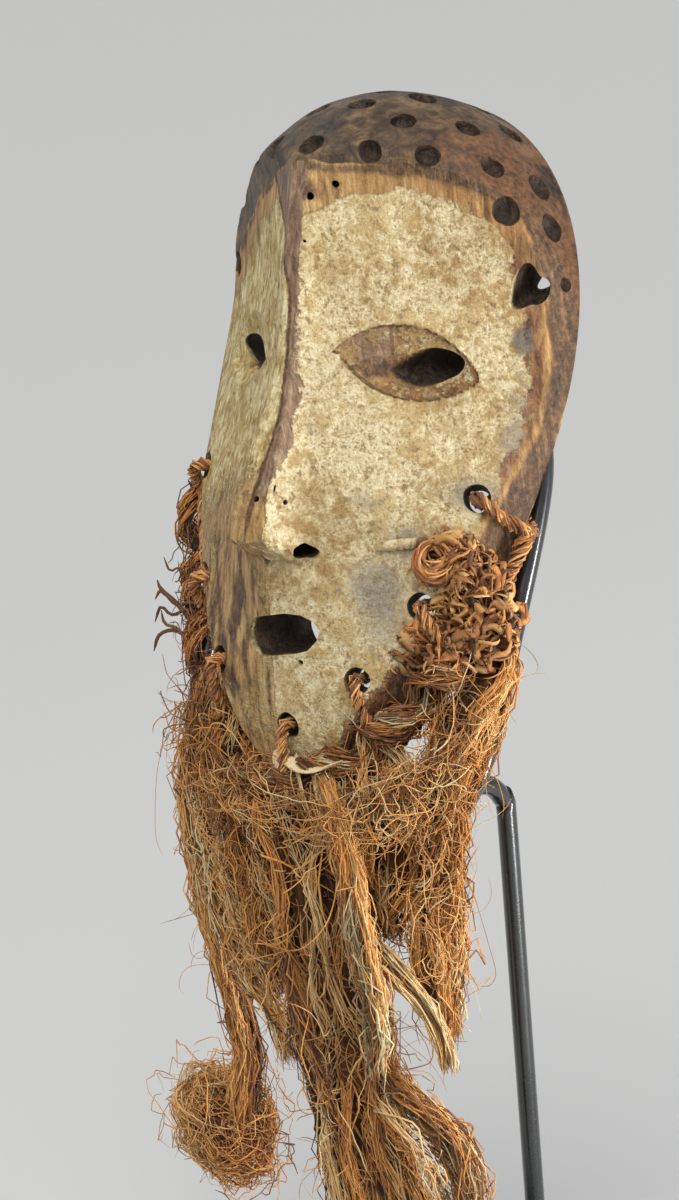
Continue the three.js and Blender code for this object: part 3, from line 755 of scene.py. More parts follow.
def mask_material():
    s = Shader("weathered_carved_wood")
    kaolin, cap, ochre_and_edge_highlight, dark = s.attribute("coat")
    # The fourth channel of this layer, inside, is the hollow's dark wood and the painted shade in holes and
    # pits.
    grey, olive, edge, inside = s.attribute("stain")
    tan, mauve, slate, _ = s.attribute("tone")
    grain_space = s.place((1, 1, 0.1))
    grain = s.noise(620, 5, 0.65, grain_space, 0.4)
    coarse_grain = s.noise(150, 4, 0.6, grain_space, 0.6)
    speck = s.noise(1400, 3, 0.8)
    fleck = s.noise(520, 4, 0.7)
    crust = s.noise(230, 5, 0.68, None, 0.5)
    blotch = s.noise(95, 5, 0.65)
    cloud = s.noise(36, 4, 0.6)

    def off(noise, size):
        return (noise - 0.5) * size

    tan_wood = s.ramp(grain, [(0.3, rgb(112, 80, 46)), (0.48, rgb(168, 132, 82)), (0.68, rgb(202, 170, 116))])
    red_wood = s.ramp(grain, [(0.3, rgb(66, 40, 28)), (0.48, rgb(128, 82, 48)), (0.68, rgb(172, 124, 78))])
    wood = s.mix(s.step(edge + off(blotch, 0.8), 0.2, 0.8), tan_wood, red_wood)
    # Ochre wood; along the crease of the right edge it is a painted highlight.
    orange = s.ramp(grain, [(0.28, rgb(108, 74, 38)), (0.5, rgb(170, 128, 72)), (0.7, rgb(206, 170, 110))])
    wood = s.mix(ochre_and_edge_highlight * 0.85, wood, orange)
    # Brown where the dark channel is: dark wood, soil and streaks, and painted shade along the nose ridge,
    # under the cap's edge and in the eye's corner.
    brown = s.ramp(fleck * 0.5 + grain * 0.5,
                   [(0.36, rgb(44, 30, 22)), (0.5, rgb(92, 66, 44)), (0.64, rgb(142, 108, 70))])
    wood = s.mix(s.step(dark + off(blotch, 1.3) + off(coarse_grain, 0.7), 0.25, 0.8), wood, brown)
    purple = s.ramp(grain, [(0.3, rgb(84, 62, 50)), (0.5, rgb(138, 108, 84)), (0.7, rgb(176, 150, 120))])
    wood = s.mix(s.step(mauve + off(fleck, 0.7), 0.25, 0.75), wood, purple)

    mottle = speck * 0.27 + fleck * 0.3 + (crust * 0.28 + blotch * 0.15)
    chalk = s.ramp(mottle, [(0.36, rgb(104, 78, 46)), (0.425, rgb(154, 128, 84)), (0.48, rgb(204, 186, 142)),
                            (0.53, rgb(226, 213, 176)), (0.62, rgb(246, 240, 218))])
    tanned = s.step(tan + off(crust, 2.2) + off(cloud, 2.6), 0.3, 0.95)
    tanned_chalk = s.ramp(mottle, [(0.38, rgb(104, 76, 42)), (0.48, rgb(164, 134, 84)),
                                   (0.6, rgb(206, 184, 136))])
    chalk = s.mix(tanned * 0.8, chalk, tanned_chalk)
    yellowed = s.ramp(grain * 0.6 + mottle * 0.4,
                      [(0.36, rgb(112, 82, 42)), (0.44, rgb(176, 150, 94)), (0.52, rgb(216, 200, 148)),
                       (0.62, rgb(242, 234, 198))])
    chalk = s.mix(olive * 0.9, chalk, yellowed)
    soiled = s.step(blotch * 0.5 + crust * 0.5, 0.47, 0.56)
    chalk = s.mix(soiled * 0.8, chalk, rgb(206, 184, 138), "MULTIPLY")
    pitted = s.step(fleck + off(crust, 0.9), 0.6, 0.7)
    chalk = s.mix(pitted * 0.7, chalk, rgb(112, 84, 54))
    ragged = off(fleck, 1.0) + off(crust, 1.2) + off(blotch, 1.0)
    cover = s.step(kaolin + ragged, 0.36, 0.6)
    colour = s.mix(cover, wood, chalk)

    smoke = s.step(grey + off(fleck, 0.8) + off(crust, 0.9), 0.2, 0.85)
    smoky = s.ramp(mottle, [(0.38, rgb(82, 74, 68)), (0.48, rgb(128, 118, 106)), (0.6, rgb(178, 168, 148))])
    colour = s.mix(smoke * 0.8, colour, smoky)
    slaty = s.ramp(fleck, [(0.35, rgb(58, 56, 58)), (0.6, rgb(112, 104, 96))])
    colour = s.mix(s.step(slate + off(fleck, 0.7), 0.3, 0.8) * 0.85, colour, slaty)

    worn = blotch * 0.55 + crust * 0.45
    hair = s.ramp(worn, [(0.36, rgb(38, 30, 24)), (0.46, rgb(72, 56, 40)), (0.53, rgb(102, 80, 56)),
                         (0.6, rgb(134, 108, 74)), (0.68, rgb(176, 150, 106))])
    greyed = s.step(0.55 - edge + off(cloud, 1.6), 0.2, 0.9)
    hair = s.mix(greyed * 0.6, hair, s.ramp(fleck, [(0.35, rgb(52, 52, 52)), (0.65, rgb(112, 106, 98))]))
    reddened = s.step(edge + off(crust, 1.8), 0.55, 1.0)
    hair = s.mix(reddened * 0.75, hair, s.ramp(fleck, [(0.35, rgb(66, 40, 24)), (0.65, rgb(140, 92, 54))]))
    colour = s.mix(s.step(cap + off(fleck, 0.6), 0.35, 0.65), colour, hair)

    # Dark wood of the hollow and the cut holes, with painted shade deep in the holes and pits.
    hole = s.ramp(grain, [(0.35, rgb(22, 16, 11)), (0.7, rgb(78, 57, 37))])
    colour = s.mix(inside, colour, hole)
    s.bump(grain * 0.5 + mottle * 1.6 + cover * 0.7 + worn * 2.2, 0.9, 0.0008)
    return s.finish(colour, speck * 0.5 + cover * 0.12 + 0.24, 0.42)


def fibre_material(name, shades, roughness=0.62):
    """Dry plant fibre, with painted shade that darkens it deep inside a bundle."""
    s = Shader(name)
    tint, _, outer, _ = s.attribute("fibre")
    streak = s.noise(900, 2, 0.5, s.place((1, 1, 0.2)))
    colour = s.ramp(tint + (streak - 0.5) * 0.35, shades)
    # Painted shade: strands deep inside a bundle are mixed towards dark brown, outer ones keep their colour.
    lit = s.step(outer, 0.35, 0.95) * 0.75 + 0.25
    colour = s.mix(lit, s.mix(0.8, colour, rgb(38, 20, 10)), colour)
    s.surface.inputs["Sheen Weight"].default_value = 0.1
    return s.finish(colour, roughness, 0.4)


def core_material():
    s = Shader("fibre_shadow")
    streak = s.noise(600, 4, 0.6, s.place((1, 1, 0.08)))
    # Painted shade: dark browns that stand for the shade inside a hank or the tassel.
    colour = s.ramp(streak, [(0.35, rgb(40, 23, 12)), (0.55, rgb(78, 48, 24)), (0.75, rgb(118, 76, 38))])
    s.bump(streak, 0.8, 0.0006)
    return s.finish(colour, 0.85, 0.2)


def steel_material():
    s = Shader("blackened_steel_satin")
    cloud = s.noise(60, 5, 0.6)
    fine = s.noise(1400, 3, 0.6)
    colour = s.mix(s.step(cloud, 0.4, 0.65), rgb(24, 25, 27), rgb(38, 39, 42))
    s.bump(fine, 0.35, 0.00014)
    s.surface.inputs["Coat Weight"].default_value = 1.0
    s.surface.inputs["Coat Roughness"].default_value = 0.16
    return s.finish(colour, cloud * 0.18 + fine * 0.12 + 0.14, 0.6, 0.35)


# The mask
def almond(u, v):
    """How far inside the eye's almond border a place is, in millimetres, with u away from the nose."""
    upper = 11.2 * np.clip(1 - ((u - 0.5) / 20.5) ** 2, 0, 1) ** 0.8
    lower = -9.0 * np.clip(1 - ((u - 1.5) / 20) ** 2, 0, 1) ** 0.9
    return np.minimum(np.minimum(upper - v, v - lower), 20.5 - np.abs(u - 0.5))


EYES = [stand_axes(side * wide(0.47), high(0.593)) for side in (1, -1)]


def eye_places(p):
    """Local places of points in both eyes' frames, with u away from the nose."""
    for side, (point, level, up, normal) in zip((1, -1), EYES):
        rel = p - point
        yield side, rel @ level * side + 2.5, rel @ up, rel @ normal


def relief(p):
    """Height of the carving marks, grain and borders over the plain carved surface."""
    marks = fractal(p / (9, 9, 14), 2, 3) * 0.32
    grain = fractal(p / (1.1, 1.6, 16), 2, 11) * 0.06
    height = marks + grain
    for _, u, v, w in eye_places(p):
        inside = almond(u, v)
        near = np.abs(w) < 14
        recess = smoothstep(inside, 0.0, 0.7) * 0.55 + np.clip(inside / 6.0, 0, 1) * 2.1
        lip = np.exp(-((inside + 0.6) / 0.7) ** 2) * 0.25
        height = height + np.where(near, lip - recess, 0)
    return height


def mask_mesh():
    around = 360
    outer_rings = 118
    inner_rings = 22
    even = np.arange(around) / around * 2 * math.pi - math.pi
    phi = even - 0.25 * np.sin(2 * even)
    t = np.linspace(0, 1, outer_rings + 1)[1:]
    rho = np.sin(t * math.pi / 2)
    grid_rho, grid_phi = np.meshgrid(rho, phi, indexing="ij")
    base = outer_point(grid_rho, grid_phi)
    step = 0.004
    d_rho = outer_point(np.minimum(grid_rho + step, 1), grid_phi)
    d_rho -= outer_point(np.maximum(grid_rho - step, 0), grid_phi)
    d_phi = outer_point(grid_rho, grid_phi + step) - outer_point(grid_rho, grid_phi - step)
    normal = unit(np.cross(d_rho, d_phi))
    normal *= np.sign(np.sum(normal * (base - (0, 20, POLE)), -1, keepdims=True))
    fade = smoothstep(1 - grid_rho, 0.0, 0.0008)[..., None]
    outer = base + normal * (relief(base)[..., None] * fade)
    radius = rim_radius(phi)
    rim = []
    for inset, lift in ((0.25, 0.0), (1.0, 0.3), (3.0, 0.35), (5.0, 0.35), (7.0, 0.25), (7.8, 0.0)):
        x, z = plain_xz(1 - inset / radius, phi, radius)
        rim.append(np.stack([x * side_share(x, z), np.full(around, lift), z], -1))
    rim = np.array(rim)
    rim[1:-1, :, 1] += fractal(rim[1:-1] / (6, 6, 6), 2, 31) * 0.25
    inner_t = np.linspace(1, 0, inner_rings + 1)[:-1]
    ir, ip = np.meshgrid(np.sin(inner_t * math.pi / 2), phi, indexing="ij")
    inner = hollow_point(ir, ip)
    chisel = fractal(inner / (7, 12, 16), 2, 47) * 0.55 * smoothstep(1 - ir, 0, 0.05)
    inner[..., 1] += chisel
    rings = np.concatenate([outer, rim, inner])
    points = rings.reshape(-1, 3)
    front = outer_point(np.zeros(1), np.zeros(1))
    back = hollow_point(np.zeros(1), np.zeros(1))
    count = len(rings)
    points = np.vstack([points, front, back])
    faces = ring_faces(count, around)
    tip, bottom = len(points) - 2, len(points) - 1
    for j in range(around):
        k = (j + 1) % around
        faces.append((tip, k, j))
        faces.append((bottom, (count - 1) * around + j, (count - 1) * around + k))
    obj = mesh_object("mask_carving", points, faces)
    fix_outward(obj)
    return obj


def prism(outline, point, level, up, normal, out, depth, end_scale=1.0):
    """Closed straight cutter of an outline that stands on the surface."""
    outline = np.asarray(outline, float)
    count = len(outline)
    rings = []
    steps = max(2, int((out + depth) / 1.2))
    for share in np.linspace(out, -depth, steps):
        flat = outline * (1 - (1 - end_scale) * smoothstep(-share, 1.0, min(9.0, depth)))
        rings.append(point + flat[:, :1] * level + flat[:, 1:] * up + share * normal)
    faces = ring_faces(steps, count)
    faces.append(tuple(range(count - 1, -1, -1)))
    faces.append(tuple(range((steps - 1) * count, steps * count)))
    return np.vstack(rings), faces


def ellipse(a, b, count=28, uneven=0.0, seed=0):
    angle = circle_angles(count)
    rng = np.random.default_rng(seed)
    phases = rng.uniform(0, 2 * math.pi, 3)
    wobble = 1 + uneven * sum(np.sin(k * angle + ph) / k for k, ph in zip((2, 3, 5), phases))
    return np.stack([a * wobble * np.cos(angle), b * wobble * np.sin(angle)], -1)


def eye_opening(side):
    """Outline of the pierced eye, pointed towards the nose."""
    angle = circle_angles(40)
    half = EYE_LENGTH * 0.3
    u = half * np.cos(angle)
    v = half * 0.7 * np.sin(angle) * (1 - 0.16 * np.cos(angle) ** 2)
    v *= np.where(u < 0, 1 - 0.35 * (u / half) ** 2, 1)
    return np.stack([side * (u + 1.0), v - 0.5], -1)


def mouth_opening():
    half = MOUTH_LENGTH * 0.39
    rise = MOUTH_LENGTH * 0.2
    angle = np.linspace(math.pi / 2, math.pi * 1.5, 12)
    left = np.stack([-half + rise + rise * np.cos(angle), rise * 0.97 * np.sin(angle)], -1)
    right = np.array([(0.2, -1), (0.62, -0.92), (0.88, -0.5), (1, -0.02), (0.9, 0.45), (0.66, 0.82),
                      (0.3, 1)]) * (half, rise)
    return np.vstack([left, right])


def ball(centre, radius, seed):
    """A rather uneven round cutter."""
    bm = bmesh.new()
    bmesh.ops.create_icosphere(bm, subdivisions=3, radius=1)
    points = np.array([v.co[:] for v in bm.verts])
    faces = [tuple(v.index for v in f.verts) for f in bm.faces]
    bm.free()
    points = points * (1 + 0.1 * fractal(points * 1.3 + seed * 7.1, 2, seed)[:, None])
    return centre + points * radius, faces


def pit_places():
    """Middles and sizes of the drilled pits of the cap, smaller beside the hole at the temple."""
    temple = np.array([wide(HOLES[0][0]), high(HOLES[0][1])])
    rows = [(0.77, -17, 18, 3), (0.59, -32, 27, 6), (0.38, -45, 46, 9), (0.17, -60, 61, 11)]
    rng = np.random.default_rng(5)
    for depth, first, last, count in rows:
        for i in range(count):
            phi = math.radians(first + (last - first) * i / (count - 1) + rng.normal(0, 1.3))
            n = DOME_SIDE + (DOME_TOP - DOME_SIDE) * math.cos(phi) ** 2
            share = depth * (1 + rng.normal(0, 0.03))
            place = outer_point(np.array((1 - share ** n) ** (1 / n)), np.array(phi))
            size = rng.uniform(1.12, 1.36)
            beside_temple = np.linalg.norm(place[[0, 2]] - temple) < 14
            yield place, size * (0.55 if beside_temple else 1)


def lace_hole_outline(i):
    if i == 0:
        angle = circle_angles(36)
        lobes = 1 + 0.16 * np.cos(3 * angle + 0.6) + 0.05 * np.sin(5 * angle)
        return np.stack([LACE_HOLE_RADIUS * 1.28 * lobes * np.cos(angle),
                         LACE_HOLE_RADIUS * 1.5 * lobes * np.sin(angle)], -1)
    return ellipse(LACE_HOLE_RADIUS, LACE_HOLE_RADIUS, 28, 0.06, i)


# Worm and pin holes, as half width share, height share, two half lengths in millimetres and depth
SMALL_HOLES = [(0.064, 0.793, 1.05, 1.05, 6), (0.143, 0.816, 1.1, 1.0, 6), (0.056, 0.732, 0.45, 0.45, 3),
               (0.03, 0.374, 0.95, 0.95, 6), (0.127, 0.378, 0.7, 0.75, 5), (0.095, 0.393, 0.35, 1.0, 4),
               (-0.006, 0.3, 1.3, 0.8, 5), (-0.264, 0.31, 0.6, 1.2, 5), (0.14, 0.172, 0.85, 0.8, 5)]


def openings():
    """Cutters of the eyes and the mouth."""
    through = FACE_WALL * 1.5
    for side, narrowing in ((1, 0.84), (-1, 0.72)):
        way = level_way(side * wide(0.47), high(0.593), side * -EYE_SLANT)
        yield prism(eye_opening(side), *way, 9, through, narrowing)
    yield prism(mouth_opening(), *level_way(wide(0.03), high(0.203), -MOUTH_SLANT), 9, through, 0.97)


def lace_holes():
    for i, (x, z) in enumerate(HOLES):
        way = level_way(wide(x), high(z), 0.22) if i == 0 else stand_axes(wide(x), high(z))
        yield prism(lace_hole_outline(i), *way, 9, 19, 0.45 if i == 0 else 0.78)


def small_holes():
    chip = ellipse(3.5, 2.4, 24, 0.26, 3)
    yield prism(chip, *stand_axes(wide(0.19), high(0.318)), 6, 16, 0.85)
    for k, (x, z, a, b, depth) in enumerate(SMALL_HOLES):
        yield prism(ellipse(a, b, 14, 0.12, k), *stand_axes(wide(x), high(z)), 4, depth, 0.8)
    for k, (centre, size) in enumerate(pit_places()):
        yield ball(centre, PIT_RADIUS * size, k)


def cut_out(obj, cutters):
    points, faces = [], []
    for p, f in cutters:
        offset = sum(len(q) for q in points)
        points.append(p)
        faces += [tuple(i + offset for i in face) for face in f]
    cutter = mesh_object("cutter", np.vstack(points), faces, smooth=False)
    fix_outward(cutter)
    modifier = obj.modifiers.new("cut", "BOOLEAN")
    modifier.operation = "DIFFERENCE"
    modifier.solver = "EXACT"
    modifier.object = cutter
    bpy.context.view_layer.update()
    depsgraph = bpy.context.evaluated_depsgraph_get()
    result = bpy.data.meshes.new_from_object(obj.evaluated_get(depsgraph))
    obj.modifiers.clear()
    obj.data = result
    bpy.data.objects.remove(cutter)


def mesh_points(obj):
    co = np.empty(len(obj.data.vertices) * 3, np.float32)
    obj.data.vertices.foreach_get("co", co)
    return co.reshape(-1, 3).astype(float) / MM


# Lines on the face, in the mask's frame: the hairline and the top of the white by x, the rest by z
HAIRLINE = [(-64, 138), (-45, 152), (-30, 161), (-8.6, 166.5), (8, 167.2), (18, 169), (30, 170.8),
            (42, 169.8), (51, 166), (56, 159), (61, 146), (65, 130)]
KAOLIN_TOP = [(0, 150), (3.4, 153), (8.6, 158), (15.5, 161), (25, 165.5), (34, 164.6), (44, 162),
              (48.5, 157.4), (53, 152), (60, 140)]
KAOLIN_RIGHT = [(0, 70), (60, 62), (95, 55), (104, 56.8), (115, 57.3), (123, 57), (134, 54), (153, 52)]
RIDGE_LEFT = [(60, 0.0), (66, 0.2), (82, 1.6), (94, 2.6), (108, 1.5), (119, 1.0), (132, 0.2), (149, -7.0),
              (165, -17)]
RIDGE_RIGHT = [(62, 6.4), (80, 5.7), (89, 6.3), (103, 5.6), (120, 4.6), (132, 3.6), (143, 3.2), (158, 2.4)]
# Spots of soot, soil and stain on the face: strength, middle by x and z, and the two half sizes
GREY_SPOTS = [(0.9, 30, 57, 9, 9), (0.75, 36, 72, 5, 5), (0.8, 49, 88, 6, 6), (0.5, 24, 80, 5, 5),
              (0.55, 56, 104, 4, 12), (0.4, 33, 44, 8, 7), (0.4, 8, 98, 3, 8), (0.35, 55, 120, 4, 10)]
TAN_SPOTS = [(0.35, 14, 80, 12, 10), (0.35, 25, 140, 18, 6), (0.3, 48, 108, 8, 14), (0.35, 5, 54, 10, 4)]
DARK_SPOTS = [(0.55, -23, 44, 13, 34), (0.5, -12, 46, 6, 14), (0.6, 2, 160, 12, 5), (0.5, -40, 140, 6, 10)]


def spot(x, z, cx, cz, half_x, half_z):
    """A soft round patch centred on a place of the face."""
    return np.exp(-(((x - cx) / half_x) ** 2 + ((z - cz) / half_z) ** 2))


def spots(x, z, rows):
    return sum(strength * spot(x, z, *place) for strength, *place in rows)


def near_line(distance, width):
    return np.exp(-(distance / width) ** 2)


def paint_layers(obj, **layers):
    """Writes groups of four colour layers. Each group is an attribute of the mesh."""
    for name, values in layers.items():
        paint(obj, name, np.clip(np.stack(values, -1), 0, 1))


def paint_mask(obj):
    """Where the whitening, soot, bare wood and dark holes are, as numbers from 0 to 1 at each point. The hole
    channel is the dark wood of the hollow with painted shade deep in the holes and pits; the dark channel
    also holds painted shade lines, and the ochre one a painted highlight.
    """
    p = mesh_points(obj)
    x, z = p[:, 0], p[:, 2]
    rho, phi = polar(x, z)
    rho = np.minimum(rho, 1)
    radius = rim_radius(phi)
    plain_x, _ = plain_xz(rho, phi, radius)
    inward = p[:, 1] - outer_point(rho, phi)[:, 1]
    from_edge = (1 - rho) * radius
    cheek = soft_max(cheek_depth(plain_x, z), nose_depth(plain_x, z), 1.5)
    ridge_gap = np.minimum(cheek, dome_depth(rho, phi)) - bevel_depth(rho, phi, radius)
    wall_side = smoothstep(ridge_gap, -0.5, 2.0)

    wander = fractal(p / 7, 3, 21) * 1.5
    below_hair = z - along(HAIRLINE, x)
    cap = smoothstep(below_hair + 0.5 * wander, -0.7, 1.0) * smoothstep(z, high(0.55), high(0.62))
    from_left = x - along(RIDGE_LEFT, z)
    past_right = x - along(RIDGE_RIGHT, z) + 0.5 * wander
    on_ridge = smoothstep(from_left, -0.3, 0.9) * (1 - smoothstep(past_right, -0.9, 0.9))
    on_ridge *= smoothstep(z, NOSE_TIP - 2, NOSE_TIP + 1)
    left = smoothstep(-from_left, -0.4, 0.6)
    inner_side = np.minimum(along(KAOLIN_TOP, x) - z, along(KAOLIN_RIGHT, z) - x)
    kaolin = smoothstep(np.minimum(inner_side, from_edge - 5.5) + wander, -2.2, 2.6)
    streaked = fractal(p / (2.6, 2.6, 26), 3, 35)
    left_side = np.minimum(-below_hair - 9, from_edge - 3.5) + 1.6 * wander + 3 * streaked
    kaolin = kaolin * (1 - left) + smoothstep(left_side, -3.5, 4.0) * left
    kaolin *= 1 - 0.75 * on_ridge * (1 - 0.4 * spot(x, z, 4, 122, 4, 10))
    kaolin *= 1 - 0.62 * spot(x, z, -23, 46, 12, 32) - 0.35 * spot(x, z, -12, 80, 7, 18)
    kaolin *= 1 - 0.6 * spot(x, z, -10, 48, 7, 14) * (x < 3)
    kaolin *= 1 - 0.5 * smoothstep(14 - z, 0, 8)
    slate = 0.95 * spot(x, z, 54.5, 131, 3.4, 5) + 0.75 * spot(x, z, 60, 122, 4, 10) * wall_side
    slate += 0.8 * spot(x, z, -10, 163, 3.5, 5) * (1 - cap)
    # Painted highlight: a lighter ochre band along the crease of the right edge. The band under the hairline
    # and the nose tip's facet are ochre wood.
    ochre_and_edge_highlight = near_line(ridge_gap + 0.6, 2.0) * (1 - cap) * smoothstep(x, 40, 52)
    ochre_and_edge_highlight = np.maximum(ochre_and_edge_highlight, 0.75 * smoothstep(below_hair, -14, -8) * (1 - smoothstep(below_hair, -2.5, 0)))
    ochre_and_edge_highlight = np.maximum(ochre_and_edge_highlight, 0.9 * (1 - smoothstep(np.abs(x - 2), 4.0, 5.5)) * spot(x, z, 2, 67, 9, 9))
    tan = 0.3 + spots(x, z, TAN_SPOTS) + 0.35 * smoothstep(6 - inner_side, 0, 6) + 0.3 * left
    mauve = on_ridge * (0.85 - 0.8 * spot(x, z, 3, 66, 7, 10))
    dark = left * (0.06 - 0.6 * streaked) + wall_side * 0.75 + spots(x, z, DARK_SPOTS)
    # Painted shade: a dark line along the left edge of the nose ridge, and one just under the cap's edge; the
    # rest of the dark channel is dark wood, soil and streaks.
    ridge_line = near_line(from_left, 1.1) * smoothstep(z, 60, 70)
    dark += 1.1 * ridge_line + 0.7 * near_line(below_hair + 1.0, 1.6)
    dark += 0.35 * smoothstep(2 - inner_side, 0, 5) * (x > 20)
    kaolin *= (1 - 0.85 * ridge_line) * (1 - 0.55 * left * smoothstep(100 - z, 0, 30))
    sunk = 0
    for _, u, v, w in eye_places(p):
        within = almond(u, v)
        here = np.abs(w) < 14
        inside_almond = smoothstep(within, -0.2, 0.5) * here
        sunk = sunk + inside_almond * (0.55 + np.clip(within / 6.0, 0, 1) * 2.1)
        right_eye = inside_almond * (x > 0)
        kaolin *= 1 - 0.5 * right_eye * (1 - 0.8 * spot(u, v, 12, 5, 6, 5))
        ochre_and_edge_highlight = ochre_and_edge_highlight * (1 - right_eye) + 0.15 * right_eye
        mauve += 0.9 * right_eye * spot(u, v, -11, 5, 9, 6)
        line = near_line(within - 0.2, 0.55) * here * (x > 0)
        # Painted shade: the dark of the eye's hole carried on into its corner by the nose.
        corner = right_eye * spot(u, v, -8, -0.5, 8, 5)
        dark += 0.8 * line + 0.9 * corner
        kaolin *= (1 - 0.75 * line) * (1 - 0.7 * corner)
        tan += 0.5 * line + 0.4 * right_eye
    lip = (1 - smoothstep(inward, 1.0, 1.7)) * smoothstep(inward, 0.08, 0.35) * (wall_side < 0.5)
    pale_lips = spot(x, z, -10, 41, 9, 9) + spot(x, z, 53, 143, 6, 6)
    kaolin = np.maximum(kaolin, lip * np.clip(pale_lips * 1.6, 0, 1))
    # Dark wood over the back hollow and painted shade deep in the cut holes; the eye's recess is left out so
    # only its hole is shaded.
    inner = smoothstep(inward - 1.45 * sunk, 0.7, 1.9)
    # Painted shade inside the drilled pits.
    for centre, _ in pit_places():
        away = np.linalg.norm(p - centre, axis=1)
        pit = (1 - smoothstep(away, PIT_RADIUS * 1.1, PIT_RADIUS * 1.35)) * smoothstep(inward, 0.15, 0.9)
        inner = np.maximum(inner, pit * 0.92)
    olive = left * 0.95 + 0.25 * spot(x, z, 10, 150, 12, 12)
    red_side = smoothstep(x + 2 * wander, -5, 50)
    # The second layer's last channel is dark wood and painted shade in holes and pits; the first layer's dark
    # and ochre channels hold painted shade lines and a painted edge highlight.
    paint_layers(obj, coat=[kaolin, cap, ochre_and_edge_highlight, dark],
                 stain=[spots(x, z, GREY_SPOTS), olive, red_side, inner],
                 tone=[tan, mauve, slate, np.ones(len(p))])


def splinter():
    """The raised sliver on the right cheek."""
    point, level, up, normal = stand_axes(wide(0.547), high(0.354))
    rng = np.random.default_rng(8)
    count = 26
    t = np.linspace(-1, 1, count)
    path = point + t[:, None] * (2.1 * up + 7.1 * level) + normal * 0.7
    size = 1.5 * (1 - 0.12 * t ** 2) * (1 + rng.normal(0, 0.05, count))
    size[[0, -1]] = 0.8
    across = np.broadcast_to(0.95 * up - 0.28 * level, path.shape)
    outward = np.broadcast_to(normal * 0.85, path.shape)
    obj = sweep("cheek_splinter", path, across, outward, size[:, None], 12)
    p = mesh_points(obj)
    kaolin = 1.05 - 0.95 * smoothstep((p - point) @ level, 3.2, 4.2)
    zero = np.zeros(len(p))
    paint_layers(obj, coat=[kaolin, zero, zero, 1 - kaolin], stain=[zero] * 4, tone=[zero] * 3 + [zero + 1])
    return obj


def lean(obj):
    """Moves a piece that was made in the mask's frame to its place on the stand."""
    p = to_stand(mesh_points(obj))
    obj.data.vertices.foreach_set("co", (p * MM).astype(np.float32).ravel())
    obj.data.update()


# Lacing
def beside_rim(phi, out, behind):
    x, z = plain_xz(1.0, phi, rim_radius(phi))
    return np.array([x * side_share(x, z) + math.sin(phi) * out, behind, z + math.cos(phi) * out])


def hole_angle(i):
    x, z = wide(HOLES[i][0]), high(HOLES[i][1])
    return math.atan2(x / float(side_share(x, z)), z - POLE)


def loop_route(i):
    clear = LACE_RADIUS + GAP
    x, z = wide(HOLES[i][0]), high(HOLES[i][1])
    point, normal = surface_frame(x, z)
    phi = hole_angle(i)
    outward = np.array([math.sin(phi), 0, math.cos(phi)])
    middle = point - normal * WALL / 2
    return [middle, point + normal * clear + outward, beside_rim(phi, clear, point[1] * 0.55),
            beside_rim(phi, clear + 0.6, 1), beside_rim(phi, -WALL / 2, clear + 1),
            beside_rim(phi, -WALL - clear - 2.8, 1.4), point - normal * (WALL + 3), middle]


def run_route():
    start = hole_angle(1)
    end = hole_angle(7) + 2 * math.pi
    return [beside_rim(start + (end - start) * i / 16, LACE_RADIUS + GAP + 0.7, -1.0) for i in range(17)]


def twisted(rng, route, radius, plies, turns_per_mm, hairs, step=0.9):
    """Strand paths of a twisted cord: its plies are bundles of fibres, with some loose hairs."""
    length = np.linalg.norm(np.diff(np.asarray(route), axis=0), axis=1).sum()
    count = max(int(length / step), 12)
    path = curve_points(route, count)
    n, b = moving_frames(path)
    s = np.linspace(0, length, count)
    out = []
    for ply in range(plies):
        base = 2 * math.pi * (turns_per_mm * s + ply / plies)
        for _ in range(hairs):
            a = base + rng.normal(0, 0.5)
            r = radius * (0.55 + rng.uniform(0, 0.5))
            own = rng.uniform(0, 2 * math.pi) + 2 * math.pi * turns_per_mm * 1.7 * s
            u = r * np.cos(a) + 0.3 * radius * np.cos(own)
            v = r * np.sin(a) + 0.3 * radius * np.sin(own)
            jitter = rng.normal(0, 0.05, (count, 3))
            out.append(path + n * u[:, None] + b * v[:, None] + jitter)
    return out


def same_length(paths, points):
    """Strands resampled to the same number of points."""
    result = []
    for p in paths:
        t = np.linspace(0, 1, len(p))
        q = np.linspace(0, 1, points)
        result.append(np.stack([np.interp(q, t, p[:, k]) for k in range(3)], -1))
    return np.array(result)


def stray_paths(rng, roots, directions, length, points, curl, fall):
    """Loose hairs: random walks that leave their roots and droop."""
    count = len(roots)
    step = (length / (points - 1))[:, None]
    heading = directions / np.linalg.norm(directions, axis=1, keepdims=True)
    turn = rng.normal(0, 1, (count, 3)) * curl
    paths = [roots]
    for _ in range(points - 1):
        turn = turn * 0.86 + rng.normal(0, 0.45, (count, 3)) * curl
        heading = heading + np.cross(turn, heading) + (0, 0, -fall)
        heading /= np.linalg.norm(heading, axis=1, keepdims=True)
        paths.append(paths[-1] + heading * step)
    return np.stack(paths, axis=1)


def dress(obj, material, slot, *nodes):
    obj.data.materials.clear()
    obj.data.materials.append(material)
    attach(obj, BODY)
    if nodes:
        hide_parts(*nodes)
    return obj


